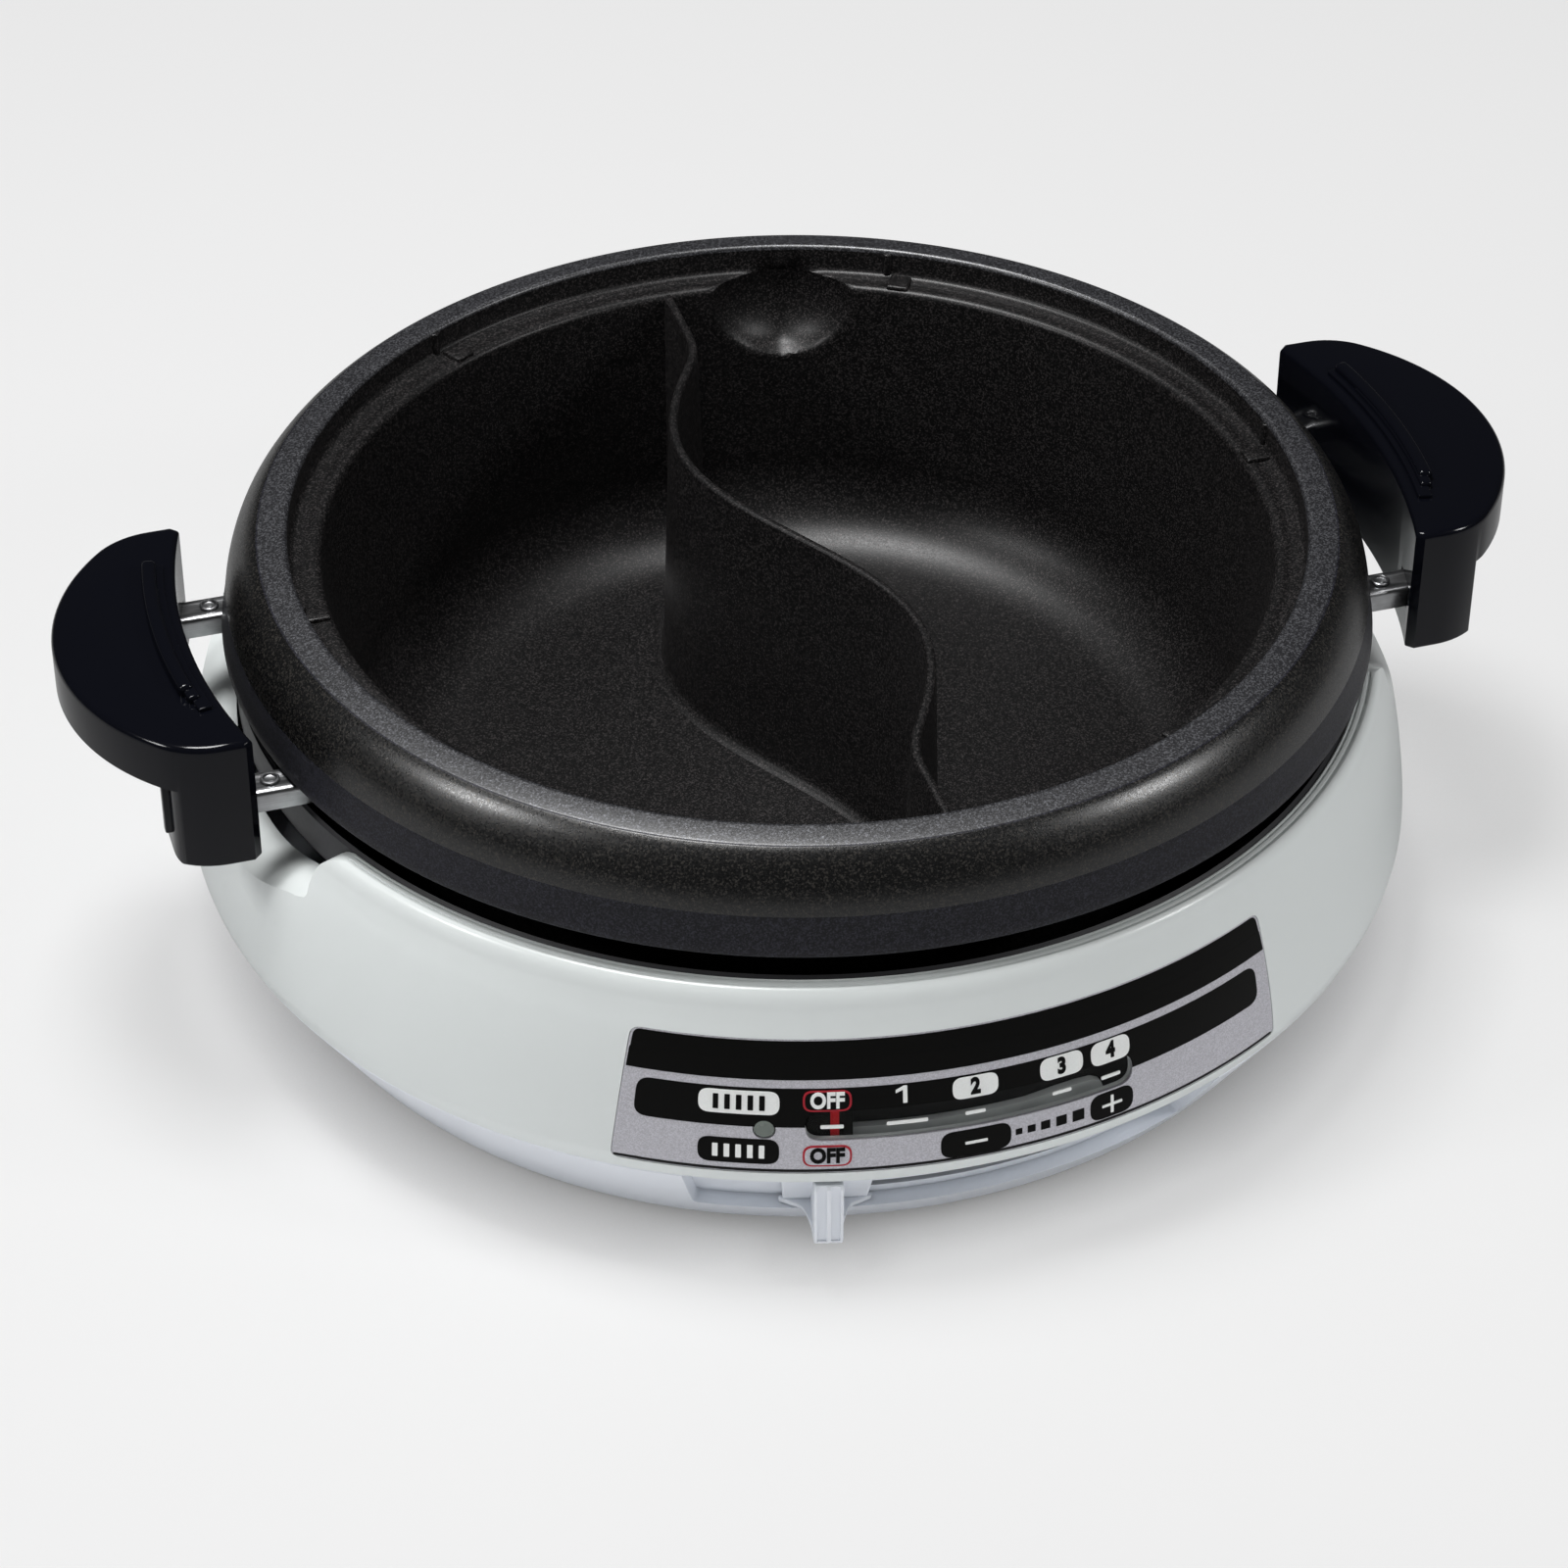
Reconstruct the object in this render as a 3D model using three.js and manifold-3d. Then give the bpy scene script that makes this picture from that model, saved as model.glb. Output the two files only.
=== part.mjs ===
import * as THREE from 'three';
import { mergeVertices } from 'three/addons/utils/BufferGeometryUtils.js';
import Module from 'manifold-3d';

// Divided electric hot pot, in millimetres with +Z up. The origin is on the table under the middle
// of the base, the control panel faces -Y and the handles stand out along +X and -X.

const wasm = await Module();
wasm.setup();

const degree = Math.PI / 180;

// Facets of round forms
const roundSides = 40;
const rodSides = 12;
const tubeSides = 8;
const wireSides = 6;
const arcSteps = 6;
const cornerSteps = 3;
const flareSteps = 4;
const frontSteps = 14;
const notchSteps = { across: 12, up: 6 };
const ridgeSteps = 5;
const windowSteps = 10;

// Clearances
const seat = 0.3;
const running = 0.6;
const overrun = 3;

// Driving dimensions of the base, from the table up
const foot = { height: 2.7, radius: 9, ringInset: 28 };
const cover = {
  wall: 2.4, bandWall: 2.9, bandHeight: 34, tuck: 22, edgeRound: 1.5,
  postRadius: 5, postRing: 120, ventLength: 34, ventWidth: 5, ventRing: 78, ventCount: 8,
};
const screw = { ringInset: 6.5, shank: 1.5, headRadius: 3.4, headHeight: 1.5, length: 18 };
const boss = { radius: 4.5, webWall: 3, webHeight: 14, belowLip: 40.4 };
const bracket = { length: 84, width: 26, sheet: 1.5 };
const thermostat = { radius: 22, height: 11, sleeveRadius: 4.5, sleeveHeight: 6.5, stemRadius: 2 };
const lever = {
  armWidth: 10, armSheet: 3.2, hubRadius: 13, restAngle: -104.2, sweepAngle: 25.45,
  plateWidth: 25.7, plateSheet: 2.2, plateTop: 2.5, plateBelow: 1.8, shoulder: 5.5, tabWidth: 8.6,
  tabReach: 1.4, tabRound: 2,
};
const recess = { fromAngle: -117, toAngle: -66, depth: 6, sill: 9.4, headroom: 2.2 };
const reflector = {
  sheet: 1.2, hole: 16, cornerRun: 30, flankRise: 17, wallHeight: 44.8, panGap: 5,
};
const heater = { tubeRadius: 3.5, wallInset: 50.8, stand: 4.3, endSpread: 12, endRun: 24, bend: 8 };
const sensor = { radius: 12, sheet: 3, stroke: 3, wire: 0.45, coil: 3.5, turns: 4 };

// Driving dimensions of the pan
const pan = {
  rimRadius: 165, rimWidth: 9.3, rimRound: 1.4, stepDepth: 9.3, ledgeWidth: 9.9, ledgeRound: 1.6,
  depth: 90.7, draft: 7, wall: 4, cornerRadius: 28, skirtFlare: 12.5, flareDrop: 18, skirtLean: 2,
  skirtDrop: 31.4, skirtWall: 2.8, grooveDepth: 0.9, grooveWidth: 2.4,
};
const divider = { swing: 21, straight: 33.8, topWall: 2.8, footWall: 8.4, fillet: 3.4, belowLedge: 0.4 };
const scoop = { angle: 75, halfWidth: 25, reach: 14.3, drop: 26.7, inset: 2.3, wall: 2.6 };
const locator = { width: 8, length: 8, height: 1.2, count: 6 };
const lug = { height: 10, reach: 10 };

// Driving dimensions of the handles and their arms
const arm = { fromHandleEnd: 12, width: 11, flange: 7, sheet: 1.5, belowSkirt: 0.6, inHandle: 1.5 };
const handle = {
  gap: 12.5, width: 39.6, endWidth: 19, halfChord: 58, wall: 3.5, plate: 4, belowRim: 8.2, edge: 2.2,
  legDepth: 43.3, innerDepth: 39.8, skirtDepth: 16, legReach: 16, legWidth: 22, bossRadius: 4,
};
const rib = { inset: 5.6, width: 4.5, height: 3.6, halfAngle: 10.8, stepWidth: 2.2, stepHeight: 1.3 };
const strap = { sheet: 1.5, behindRivet: 7 };
const rivet = { shank: 1.7, headRadius: 2.9, headHeight: 1, grip: 8, inset: 2 };

// Driving dimensions of the shell and what it carries
const shell = {
  wall: 2.4, lipGap: 9.5, lipInset: 2.8, lipWidth: 2.1, grooveDepth: 0.7, beadWidth: 1.8,
  shoulderWidth: 1.6, shoulderDrop: 1.7, belly: 12, bellyRise: 6, bottomInset: 1.7,
};
const guard = { sheet: 1.2, lowered: 0.3, straight: 12, flange: 4 };
const notch = { halfAngle: 26, depth: 20, corner: 9 };
const panel = {
  bottomRise: 5, height: 44, sheet: 1, topFromAngle: -121.7, topToAngle: -60.7, bottomFromAngle: -123.15,
  bottomToAngle: -59.7,
};
const scaleWindow = { fromAngle: -106.3, toAngle: -76.5, rise: 16.5, height: 10, lensSheet: 2.4 };
const lamp = { angle: -109.8, rise: 15.3, lensRadius: 3, lensLength: 4.6, bulbRadius: 2.6, bulbLength: 13 };
const pointer = {
  sheet: 1.6, width: 14, height: 16, behindLens: 0.9, stalk: 4, stalkWidth: 8, stalkInset: 6,
};
const inlet = {
  width: 44, height: 22, depth: 24, rise: 6, pocketWidth: 36, pocketHeight: 14, pocketDepth: 17,
  pinRadius: 2, pinSpread: 9, pinBare: 5, pinTail: 2,
};
const terminal = { width: 42, depth: 24, height: 11.3, behindHeater: 12 };
const lead = { radius: 1.6, bend: 6 };

// Azimuths of what stands in fours round the base
const quarters = { rear_right: 45, rear_left: 135, front_left: 225, front_right: 315 };

// Heights worked out from the stack
const coverUnder = foot.height + seat;
const coverFloor = coverUnder + cover.wall;
const bracketTop = coverFloor + seat + bracket.sheet;
const thermostatTop = bracketTop + seat + thermostat.height;
const armUnder = thermostatTop + seat;
const armOver = armUnder + lever.armSheet;
const reflectorUnder = armOver + recess.headroom;
const reflectorFloor = reflectorUnder + reflector.sheet;
const heaterAxis = reflectorFloor + heater.stand + heater.tubeRadius;
const heaterTop = heaterAxis + heater.tubeRadius;
const panBottom = heaterTop + seat;
const panFloor = panBottom + pan.wall;
const ledgeHeight = panFloor + pan.depth;
const rimHeight = ledgeHeight + pan.stepDepth;
const skirtBottom = rimHeight - pan.skirtDrop;
const lipHeight = skirtBottom - shell.lipGap;
const parting = coverUnder + cover.bandHeight;
const shellBottom = parting + seat;
const bellyHeight = shellBottom + shell.bellyRise;
const panelBottom = parting + panel.bottomRise;
const panelTop = panelBottom + panel.height;
const armTop = skirtBottom - arm.belowSkirt;
const handleTop = rimHeight - handle.belowRim;

// Radii worked out from the pan outwards
const stepRadius = pan.rimRadius - pan.rimWidth;
const mouthRadius = stepRadius - pan.ledgeWidth;
const wallFoot = mouthRadius - pan.draft;
const flatRadius = wallFoot - pan.cornerRadius;
const panWallTop = mouthRadius + pan.wall;
const skirtRadius = pan.rimRadius + pan.skirtFlare;
const flareRadius = skirtRadius - pan.skirtLean;
const lipRadius = skirtRadius - shell.lipInset;
const beadRadius = lipRadius + shell.lipWidth + shell.beadWidth;
const shoulderRadius = beadRadius + shell.shoulderWidth;
const shoulderHeight = lipHeight - shell.shoulderDrop;
const bellyRadius = shoulderRadius + shell.belly;
const coverTopRadius = bellyRadius - shell.bottomInset;
const coverBottomRadius = coverTopRadius - cover.tuck;
const reflectorRadius = panWallTop + reflector.panGap + reflector.sheet;
const handleRadius = skirtRadius + handle.gap;
const armSpread = handle.halfChord - arm.fromHandleEnd;
const heaterRing = wallFoot - heater.wallInset;

const materials = {
  castPan: new THREE.MeshStandardMaterial({ color: 0x2b2a2b, roughness: 0.46, metalness: 0.35 }),
  white: new THREE.MeshStandardMaterial({ color: 0xdfe3e1, roughness: 0.35, metalness: 0 }),
  lowerWhite: new THREE.MeshStandardMaterial({ color: 0xd9dee4, roughness: 0.42, metalness: 0 }),
  phenolic: new THREE.MeshStandardMaterial({ color: 0x111214, roughness: 0.18, metalness: 0 }),
  stainless: new THREE.MeshStandardMaterial({ color: 0xc3c5c7, roughness: 0.3, metalness: 0.9 }),
  polished: new THREE.MeshStandardMaterial({ color: 0xd4d5d6, roughness: 0.15, metalness: 0.95 }),
  sheath: new THREE.MeshStandardMaterial({ color: 0x57544f, roughness: 0.55, metalness: 0.6 }),
  panelBlack: new THREE.MeshStandardMaterial({ color: 0x16171a, roughness: 0.3, metalness: 0.1 }),
  pointerBlack: new THREE.MeshStandardMaterial({ color: 0x1a1a1b, roughness: 0.4, metalness: 0 }),
  clearLens: new THREE.MeshStandardMaterial({ color: 0x8e948f, roughness: 0.12, metalness: 0 }),
  lampLens: new THREE.MeshStandardMaterial({ color: 0x8a8d88, roughness: 0.15, metalness: 0 }),
  blackMoulding: new THREE.MeshStandardMaterial({ color: 0x1c1c1d, roughness: 0.5, metalness: 0 }),
  ceramic: new THREE.MeshStandardMaterial({ color: 0xe4ded0, roughness: 0.6, metalness: 0 }),
  brass: new THREE.MeshStandardMaterial({ color: 0xb99a4e, roughness: 0.3, metalness: 0.9 }),
  wireCover: new THREE.MeshStandardMaterial({ color: 0x9b3a30, roughness: 0.7, metalness: 0 }),
  rubber: new THREE.MeshStandardMaterial({ color: 0x2a2a2b, roughness: 0.85, metalness: 0 }),
};

// Turns a closed geometry into a solid that can be joined and cut
function toSolid(geometry) {
  const bare = geometry.clone();
  bare.deleteAttribute('normal');
  bare.deleteAttribute('uv');
  const merged = mergeVertices(bare);
  const position = merged.attributes.position.array;
  const corners = merged.index.array;
  const triangles = [];
  let sixVolumes = 0;
  const a = new THREE.Vector3();
  const b = new THREE.Vector3();
  const c = new THREE.Vector3();
  for (let i = 0; i < corners.length; i += 3) {
    const [p, q, r] = corners.slice(i, i + 3);
    if (p === q || q === r || r === p) continue;
    triangles.push([p, q, r]);
    a.fromArray(position, 3 * p);
    b.fromArray(position, 3 * q);
    c.fromArray(position, 3 * r);
    sixVolumes += a.dot(b.cross(c));
  }
  const outward = sixVolumes > 0 ? triangles : triangles.map(([p, q, r]) => [p, r, q]);
  return new wasm.Manifold(new wasm.Mesh({
    numProp: 3,
    vertProperties: Float32Array.from(position),
    triVerts: Uint32Array.from(outward.flat()),
  }));
}

function toGeometry(solid) {
  const mesh = solid.getMesh();
  const geometry = new THREE.BufferGeometry();
  geometry.setAttribute('position', new THREE.BufferAttribute(mesh.vertProperties, 3));
  geometry.setIndex(new THREE.BufferAttribute(mesh.triVerts, 1));
  return geometry;
}

// Full turn of a profile of [radius, height] points about the Z axis
function turned(profile, sides = roundSides) {
  const points = profile.map(([radius, height]) => new THREE.Vector2(radius, height));
  const onAxis = profile[0][0] === 0 && profile[profile.length - 1][0] === 0;
  if (!onAxis) points.push(points[0].clone());
  return toSolid(new THREE.LatheGeometry(points, sides).rotateX(Math.PI / 2));
}

// Solid between two curved faces that share one grid of azimuths and heights
function slab({ low, high, from, to, inner, outer, across, up }) {
  const vertices = [];
  for (const face of [inner, outer]) {
    for (let j = 0; j <= up; j++) {
      const z = low + (high - low) * j / up;
      for (let i = 0; i <= across; i++) {
        const azimuth = (from(z) + (to(z) - from(z)) * i / across) * degree;
        vertices.push(face(z) * Math.cos(azimuth), face(z) * Math.sin(azimuth), z);
      }
    }
  }
  const row = across + 1;
  const back = row * (up + 1);
  const faces = [];
  const quad = (a, b, c, d) => faces.push(a, b, c, a, c, d);
  for (let j = 0; j < up; j++) {
    for (let i = 0; i < across; i++) {
      const k = j * row + i;
      quad(back + k, back + k + 1, back + k + row + 1, back + k + row);
      quad(k, k + row, k + row + 1, k + 1);
    }
    const left = j * row;
    const right = left + across;
    quad(left, back + left, back + left + row, left + row);
    quad(right, right + row, back + right + row, back + right);
  }
  for (let i = 0; i < across; i++) {
    const top = up * row + i;
    quad(i, i + 1, back + i + 1, back + i);
    quad(top, back + top, back + top + 1, top + 1);
  }
  const geometry = new THREE.BufferGeometry();
  geometry.setAttribute('position', new THREE.Float32BufferAttribute(vertices, 3));
  geometry.setIndex(faces);
  return toSolid(geometry);
}

function block(xFrom, xTo, yFrom, yTo, zFrom, zTo) {
  const geometry = new THREE.BoxGeometry(xTo - xFrom, yTo - yFrom, zTo - zFrom);
  return toSolid(geometry.translate((xFrom + xTo) / 2, (yFrom + yTo) / 2, (zFrom + zTo) / 2));
}

// Upright rod
function rod(radius, zFrom, zTo, sides = rodSides) {
  const geometry = new THREE.CylinderGeometry(radius, radius, zTo - zFrom, sides).rotateX(Math.PI / 2);
  return toSolid(geometry.translate(0, 0, (zFrom + zTo) / 2));
}

// Rod that lies along a radius, from one distance to another
function spoke(radius, inner, outer, azimuth, height, sides = rodSides) {
  const geometry = new THREE.CylinderGeometry(radius, radius, outer - inner, sides).rotateZ(Math.PI / 2);
  geometry.translate((inner + outer) / 2, 0, height).rotateZ(azimuth * degree);
  return toSolid(geometry);
}

// Upright prism of a flat outline
function prism(shape, zFrom, zTo) {
  const geometry = new THREE.ExtrudeGeometry(shape, {
    depth: zTo - zFrom, bevelEnabled: false, curveSegments: arcSteps,
  });
  return toSolid(geometry.translate(0, 0, zFrom));
}

// Round tube along a curve
function tube(curve, radius, steps, sides = tubeSides) {
  const section = new THREE.Shape();
  section.absarc(0, 0, radius, 0, Math.PI * 2);
  return toSolid(new THREE.ExtrudeGeometry(section, {
    steps, extrudePath: curve, curveSegments: sides / 2, bevelEnabled: false,
  }));
}

function arcPoints(centreRadius, centreHeight, radius, from, to, steps) {
  return Array.from({ length: steps + 1 }, (_, i) => {
    const angle = (from + (to - from) * i / steps) * degree;
    return [centreRadius + radius * Math.cos(angle), centreHeight + radius * Math.sin(angle)];
  });
}

function bezierPoints(start, control, end, steps) {
  const curve = new THREE.QuadraticBezierCurve(
    new THREE.Vector2(...start), new THREE.Vector2(...control), new THREE.Vector2(...end));
  return curve.getPoints(steps).map((point) => [point.x, point.y]);
}

function placed(solid, x, y, z = 0) {
  return solid.translate([x, y, z]);
}

function around(solid, azimuth) {
  return solid.rotate([0, 0, azimuth]);
}

// Pan

// Inside of the pan as a solid, grown on all sides
function panHollow(grow) {
  const floor = panFloor - grow;
  return turned([
    [0, floor], [flatRadius, floor],
    ...arcPoints(flatRadius, panFloor + pan.cornerRadius, pan.cornerRadius + grow, -90, 0, cornerSteps),
    [mouthRadius + grow, ledgeHeight], [mouthRadius + grow, rimHeight + overrun], [0, rimHeight + overrun],
  ]);
}

function panCasting() {
  const cornerHeight = panFloor + pan.cornerRadius;
  const groove = (mouthRadius + stepRadius) / 2;
  const flareShares = { controlOut: 0.8, controlDown: 0.45 };
  const inside = [
    [0, panFloor], [flatRadius, panFloor],
    ...arcPoints(flatRadius, cornerHeight, pan.cornerRadius, -90, 0, cornerSteps).slice(1),
    [mouthRadius, ledgeHeight - pan.ledgeRound], [mouthRadius + pan.ledgeRound, ledgeHeight],
    [groove - pan.grooveWidth / 2, ledgeHeight], [groove, ledgeHeight - pan.grooveDepth],
    [groove + pan.grooveWidth / 2, ledgeHeight], [stepRadius, ledgeHeight],
    [stepRadius, rimHeight - pan.rimRound], [stepRadius + pan.rimRound, rimHeight],
    [pan.rimRadius - pan.rimRound, rimHeight],
  ];
  const flare = bezierPoints(
    [pan.rimRadius, rimHeight - pan.rimRound],
    [pan.rimRadius + flareShares.controlOut * (flareRadius - pan.rimRadius),
      rimHeight - flareShares.controlDown * pan.flareDrop],
    [flareRadius, rimHeight - pan.flareDrop], flareSteps);
  const liningTop = rimHeight - pan.wall;
  const lining = bezierPoints(
    [flareRadius - pan.skirtWall, rimHeight - pan.flareDrop - pan.skirtWall],
    [flareRadius - 2 * pan.skirtWall, liningTop - pan.skirtWall],
    [stepRadius + pan.wall, liningTop], flareSteps - 2);
  const outside = [
    ...flare, [skirtRadius, skirtBottom], [skirtRadius - pan.skirtWall, skirtBottom], ...lining,
    [stepRadius + pan.wall, ledgeHeight - pan.wall], [panWallTop, ledgeHeight - pan.wall],
    ...arcPoints(flatRadius, cornerHeight, pan.cornerRadius + pan.wall, 0, -90, cornerSteps),
    [0, panBottom],
  ];
  return turned([...inside, ...outside]);
}

// Middle line of the divider, as x for a y: one S that straightens near the wall
function dividerLine(y) {
  const waveHalf = mouthRadius - divider.straight;
  const share = Math.min(Math.abs(y) / waveHalf, 1);
  return -Math.sign(y) * divider.swing * Math.sin(Math.PI * share);
}

function dividerWall() {
  const stations = 32;
  const reach = mouthRadius + pan.wall;
  const top = ledgeHeight - divider.belowLedge;
  const footHalf = divider.footWall / 2 + divider.fillet;
  const section = [
    [footHalf, panBottom + pan.wall / 2], [footHalf, panFloor],
    [divider.footWall / 2, panFloor + divider.fillet], [divider.topWall / 2, top],
  ];
  const rails = [...section, ...section.map(([half, z]) => [-half, z]).reverse()];
  const vertices = [];
  for (let i = 0; i <= stations; i++) {
    const y = -reach + 2 * reach * i / stations;
    const step = reach / stations;
    const slope = (dividerLine(y + step) - dividerLine(y - step)) / (2 * step);
    const across = new THREE.Vector2(1, -slope).normalize();
    for (const [half, z] of rails) {
      vertices.push(dividerLine(y) + half * across.x, y + half * across.y, z);
    }
  }
  const count = rails.length;
  const faces = [];
  for (let i = 0; i < stations; i++) {
    for (let k = 0; k < count; k++) {
      const next = (k + 1) % count;
      const near = i * count;
      const far = near + count;
      faces.push(near + k, near + next, far + next, near + k, far + next, far + k);
    }
  }
  const end = stations * count;
  for (let k = 1; k < count - 1; k++) {
    faces.push(0, k + 1, k, end, end + k, end + k + 1);
  }
  const geometry = new THREE.BufferGeometry();
  geometry.setAttribute('position', new THREE.Float32BufferAttribute(vertices, 3));
  geometry.setIndex(faces);
  return toSolid(geometry).intersect(panHollow(pan.wall / 2));
}

// Pointed pouring scoop in the wall; grow gives the metal round it
function scoopForm(grow) {
  const pointedness = 1.25;
  const geometry = new THREE.SphereGeometry(1, 16, 8).rotateX(Math.PI / 2);
  const position = geometry.attributes.position;
  const depth = scoop.reach + grow;
  for (let i = 0; i < position.count; i++) {
    const [x, y, z] = [position.getX(i), position.getY(i), position.getZ(i)];
    const flat = Math.hypot(x, y);
    const norm = (Math.abs(x) ** pointedness + Math.abs(y) ** pointedness) ** (1 / pointedness);
    const squeeze = norm > 0 ? flat / norm : 0;
    const drop = z * (scoop.drop + grow);
    position.setXYZ(i, x * squeeze * depth, y * squeeze * (scoop.halfWidth + grow), drop);
  }
  const form = placed(toSolid(geometry), mouthRadius - scoop.inset, 0, ledgeHeight);
  const above = block(0, skirtRadius, -stepRadius, stepRadius, ledgeHeight - pan.grooveDepth,
    rimHeight + scoop.drop + scoop.wall);
  return grow > 0 ? form.subtract(above) : form;
}

function dividedPan() {
  let solid = panCasting().add(dividerWall());
  const hollow = panHollow(0);
  for (const azimuth of [scoop.angle, scoop.angle + 180]) {
    solid = solid.add(around(scoopForm(scoop.wall), azimuth).subtract(hollow));
    solid = solid.subtract(around(scoopForm(0), azimuth));
  }
  const locatorAt = (mouthRadius + stepRadius) / 2;
  for (let i = 0; i < locator.count; i++) {
    const bump = block(locatorAt - locator.length / 2, locatorAt + locator.length / 2,
      -locator.width / 2, locator.width / 2, ledgeHeight - pan.grooveDepth - locator.height / 2,
      ledgeHeight + locator.height);
    solid = solid.add(around(bump, 360 * i / locator.count));
  }
  const lugTop = armTop - arm.sheet - seat;
  const lugHalf = arm.width / 2 - arm.sheet - seat;
  const lugEnd = panWallTop + lug.reach;
  const lugStart = Math.sqrt(wallFoot ** 2 - (armSpread + lugHalf) ** 2);
  for (const side of [-1, 1]) {
    for (const end of [-1, 1]) {
      const y = end * armSpread;
      const [near, far] = side > 0 ? [lugStart, lugEnd] : [-lugEnd, -lugStart];
      const pad = block(near, far, y - lugHalf, y + lugHalf, lugTop - lug.height, lugTop).subtract(hollow);
      const hole = placed(rod(rivet.shank + seat, lugTop - rivet.grip, lugTop + overrun),
        side * panRivetAt(), y);
      solid = solid.add(pad).subtract(hole);
    }
  }
  return solid;
}

function panRivetAt() {
  return panWallTop + lug.reach / 2;
}

function frameRivetAt() {
  const outerFace = Math.sqrt(handleRadius ** 2 - armSpread ** 2);
  const skirtFace = Math.sqrt(skirtRadius ** 2 - armSpread ** 2);
  return (outerFace + skirtFace) / 2 - rivet.inset;
}

// Arms, straps and rivets, drawn for the handle on the +X side

function bracketArm() {
  const half = arm.width / 2;
  const outline = new THREE.Shape();
  outline.moveTo(-half, -arm.flange);
  outline.lineTo(-half, 0);
  outline.lineTo(half, 0);
  outline.lineTo(half, -arm.flange);
  outline.lineTo(half - arm.sheet, -arm.flange);
  outline.lineTo(half - arm.sheet, -arm.sheet);
  outline.lineTo(-half + arm.sheet, -arm.sheet);
  outline.lineTo(-half + arm.sheet, -arm.flange);
  outline.closePath();
  const start = panWallTop + seat;
  const end = armEnd();
  const geometry = new THREE.ExtrudeGeometry(outline, { depth: end - start, bevelEnabled: false });
  geometry.rotateX(Math.PI / 2).rotateZ(Math.PI / 2).translate(start, 0, armTop);
  const hole = rod(rivet.shank + seat, armTop - arm.flange, armTop + overrun);
  return toSolid(geometry).subtract(placed(hole, panRivetAt(), 0)).subtract(placed(hole, frameRivetAt(), 0));
}

// Where the inner face of the handle's inner wall meets the line of an arm
function legFace() {
  return Math.sqrt((handleRadius + handle.wall) ** 2 - armSpread ** 2);
}

function legEnd() {
  return handleRadius + handle.legReach;
}

function armEnd() {
  return legFace() + arm.inHandle;
}

function strapTop() {
  return armTop - arm.sheet - seat;
}

function handleStrap() {
  const top = strapTop();
  const half = arm.width / 2 - arm.sheet - seat;
  const solid = block(frameRivetAt() - strap.behindRivet, handleScrewAt() + handle.bossRadius, -half, half,
    top - strap.sheet, top);
  const hole = rod(rivet.shank + seat, top - strap.sheet - overrun, top + overrun);
  return solid.subtract(placed(hole, frameRivetAt(), 0)).subtract(placed(hole, handleScrewAt(), 0));
}

function handleScrewAt() {
  return (armEnd() + legEnd() - handle.wall) / 2;
}

function rivetSolid(shankUnder, headUnder, tailRadius) {
  const head = headUnder + rivet.headHeight;
  const tailTop = shankUnder + (tailRadius > rivet.shank ? rivet.headHeight : 0);
  return turned([
    [0, shankUnder], [tailRadius, shankUnder], [tailRadius, tailTop], [rivet.shank, tailTop],
    [rivet.shank, headUnder], [rivet.headRadius, headUnder],
    [rivet.headRadius, headUnder + rivet.headHeight / 3],
    [rivet.headRadius / 2, head], [0, head],
  ].filter(([r, z], i, all) => i === 0 || r !== all[i - 1][0] || z !== all[i - 1][1]), rodSides);
}

function panRivet() {
  return rivetSolid(strapTop() - rivet.grip + seat, armTop + seat, rivet.shank);
}

function frameRivet() {
  const tailUnder = strapTop() - strap.sheet - seat - rivet.headHeight;
  return rivetSolid(tailUnder, armTop + seat, rivet.headRadius);
}

function handleScrew() {
  const headTop = strapTop() - strap.sheet - seat;
  return turned([
    [0, headTop - screw.headHeight], [screw.headRadius, headTop - screw.headHeight],
    [screw.headRadius, headTop], [screw.shank, headTop], [screw.shank, headTop + screw.length],
    [0, headTop + screw.length],
  ], rodSides);
}

// Outline of the crescent hood, drawn in by an even inset
function crescent(inset) {
  const outermost = handleRadius + handle.width;
  const endFrom = Math.sqrt(handleRadius ** 2 - handle.halfChord ** 2);
  const rise = outermost - endFrom - handle.endWidth;
  const outerArc = (handle.halfChord ** 2 + rise ** 2) / rise / 2;
  const inner = handleRadius + inset;
  const outer = outerArc - inset;
  const half = handle.halfChord - inset;
  const centre = outermost - outerArc;
  const innerAngle = Math.asin((half - handle.edge) / inner);
  const outerAngle = Math.asin(half / outer);
  const shape = new THREE.Shape();
  shape.moveTo(inner * Math.cos(innerAngle) + handle.edge, -half);
  shape.lineTo(centre + outer * Math.cos(outerAngle), -half);
  shape.absarc(centre, 0, outer, -outerAngle, outerAngle);
  shape.lineTo(inner * Math.cos(innerAngle) + handle.edge, half);
  shape.lineTo(inner * Math.cos(innerAngle), half - handle.edge);
  shape.absarc(0, 0, inner, innerAngle, -innerAngle, true);
  shape.closePath();
  return shape;
}

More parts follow.
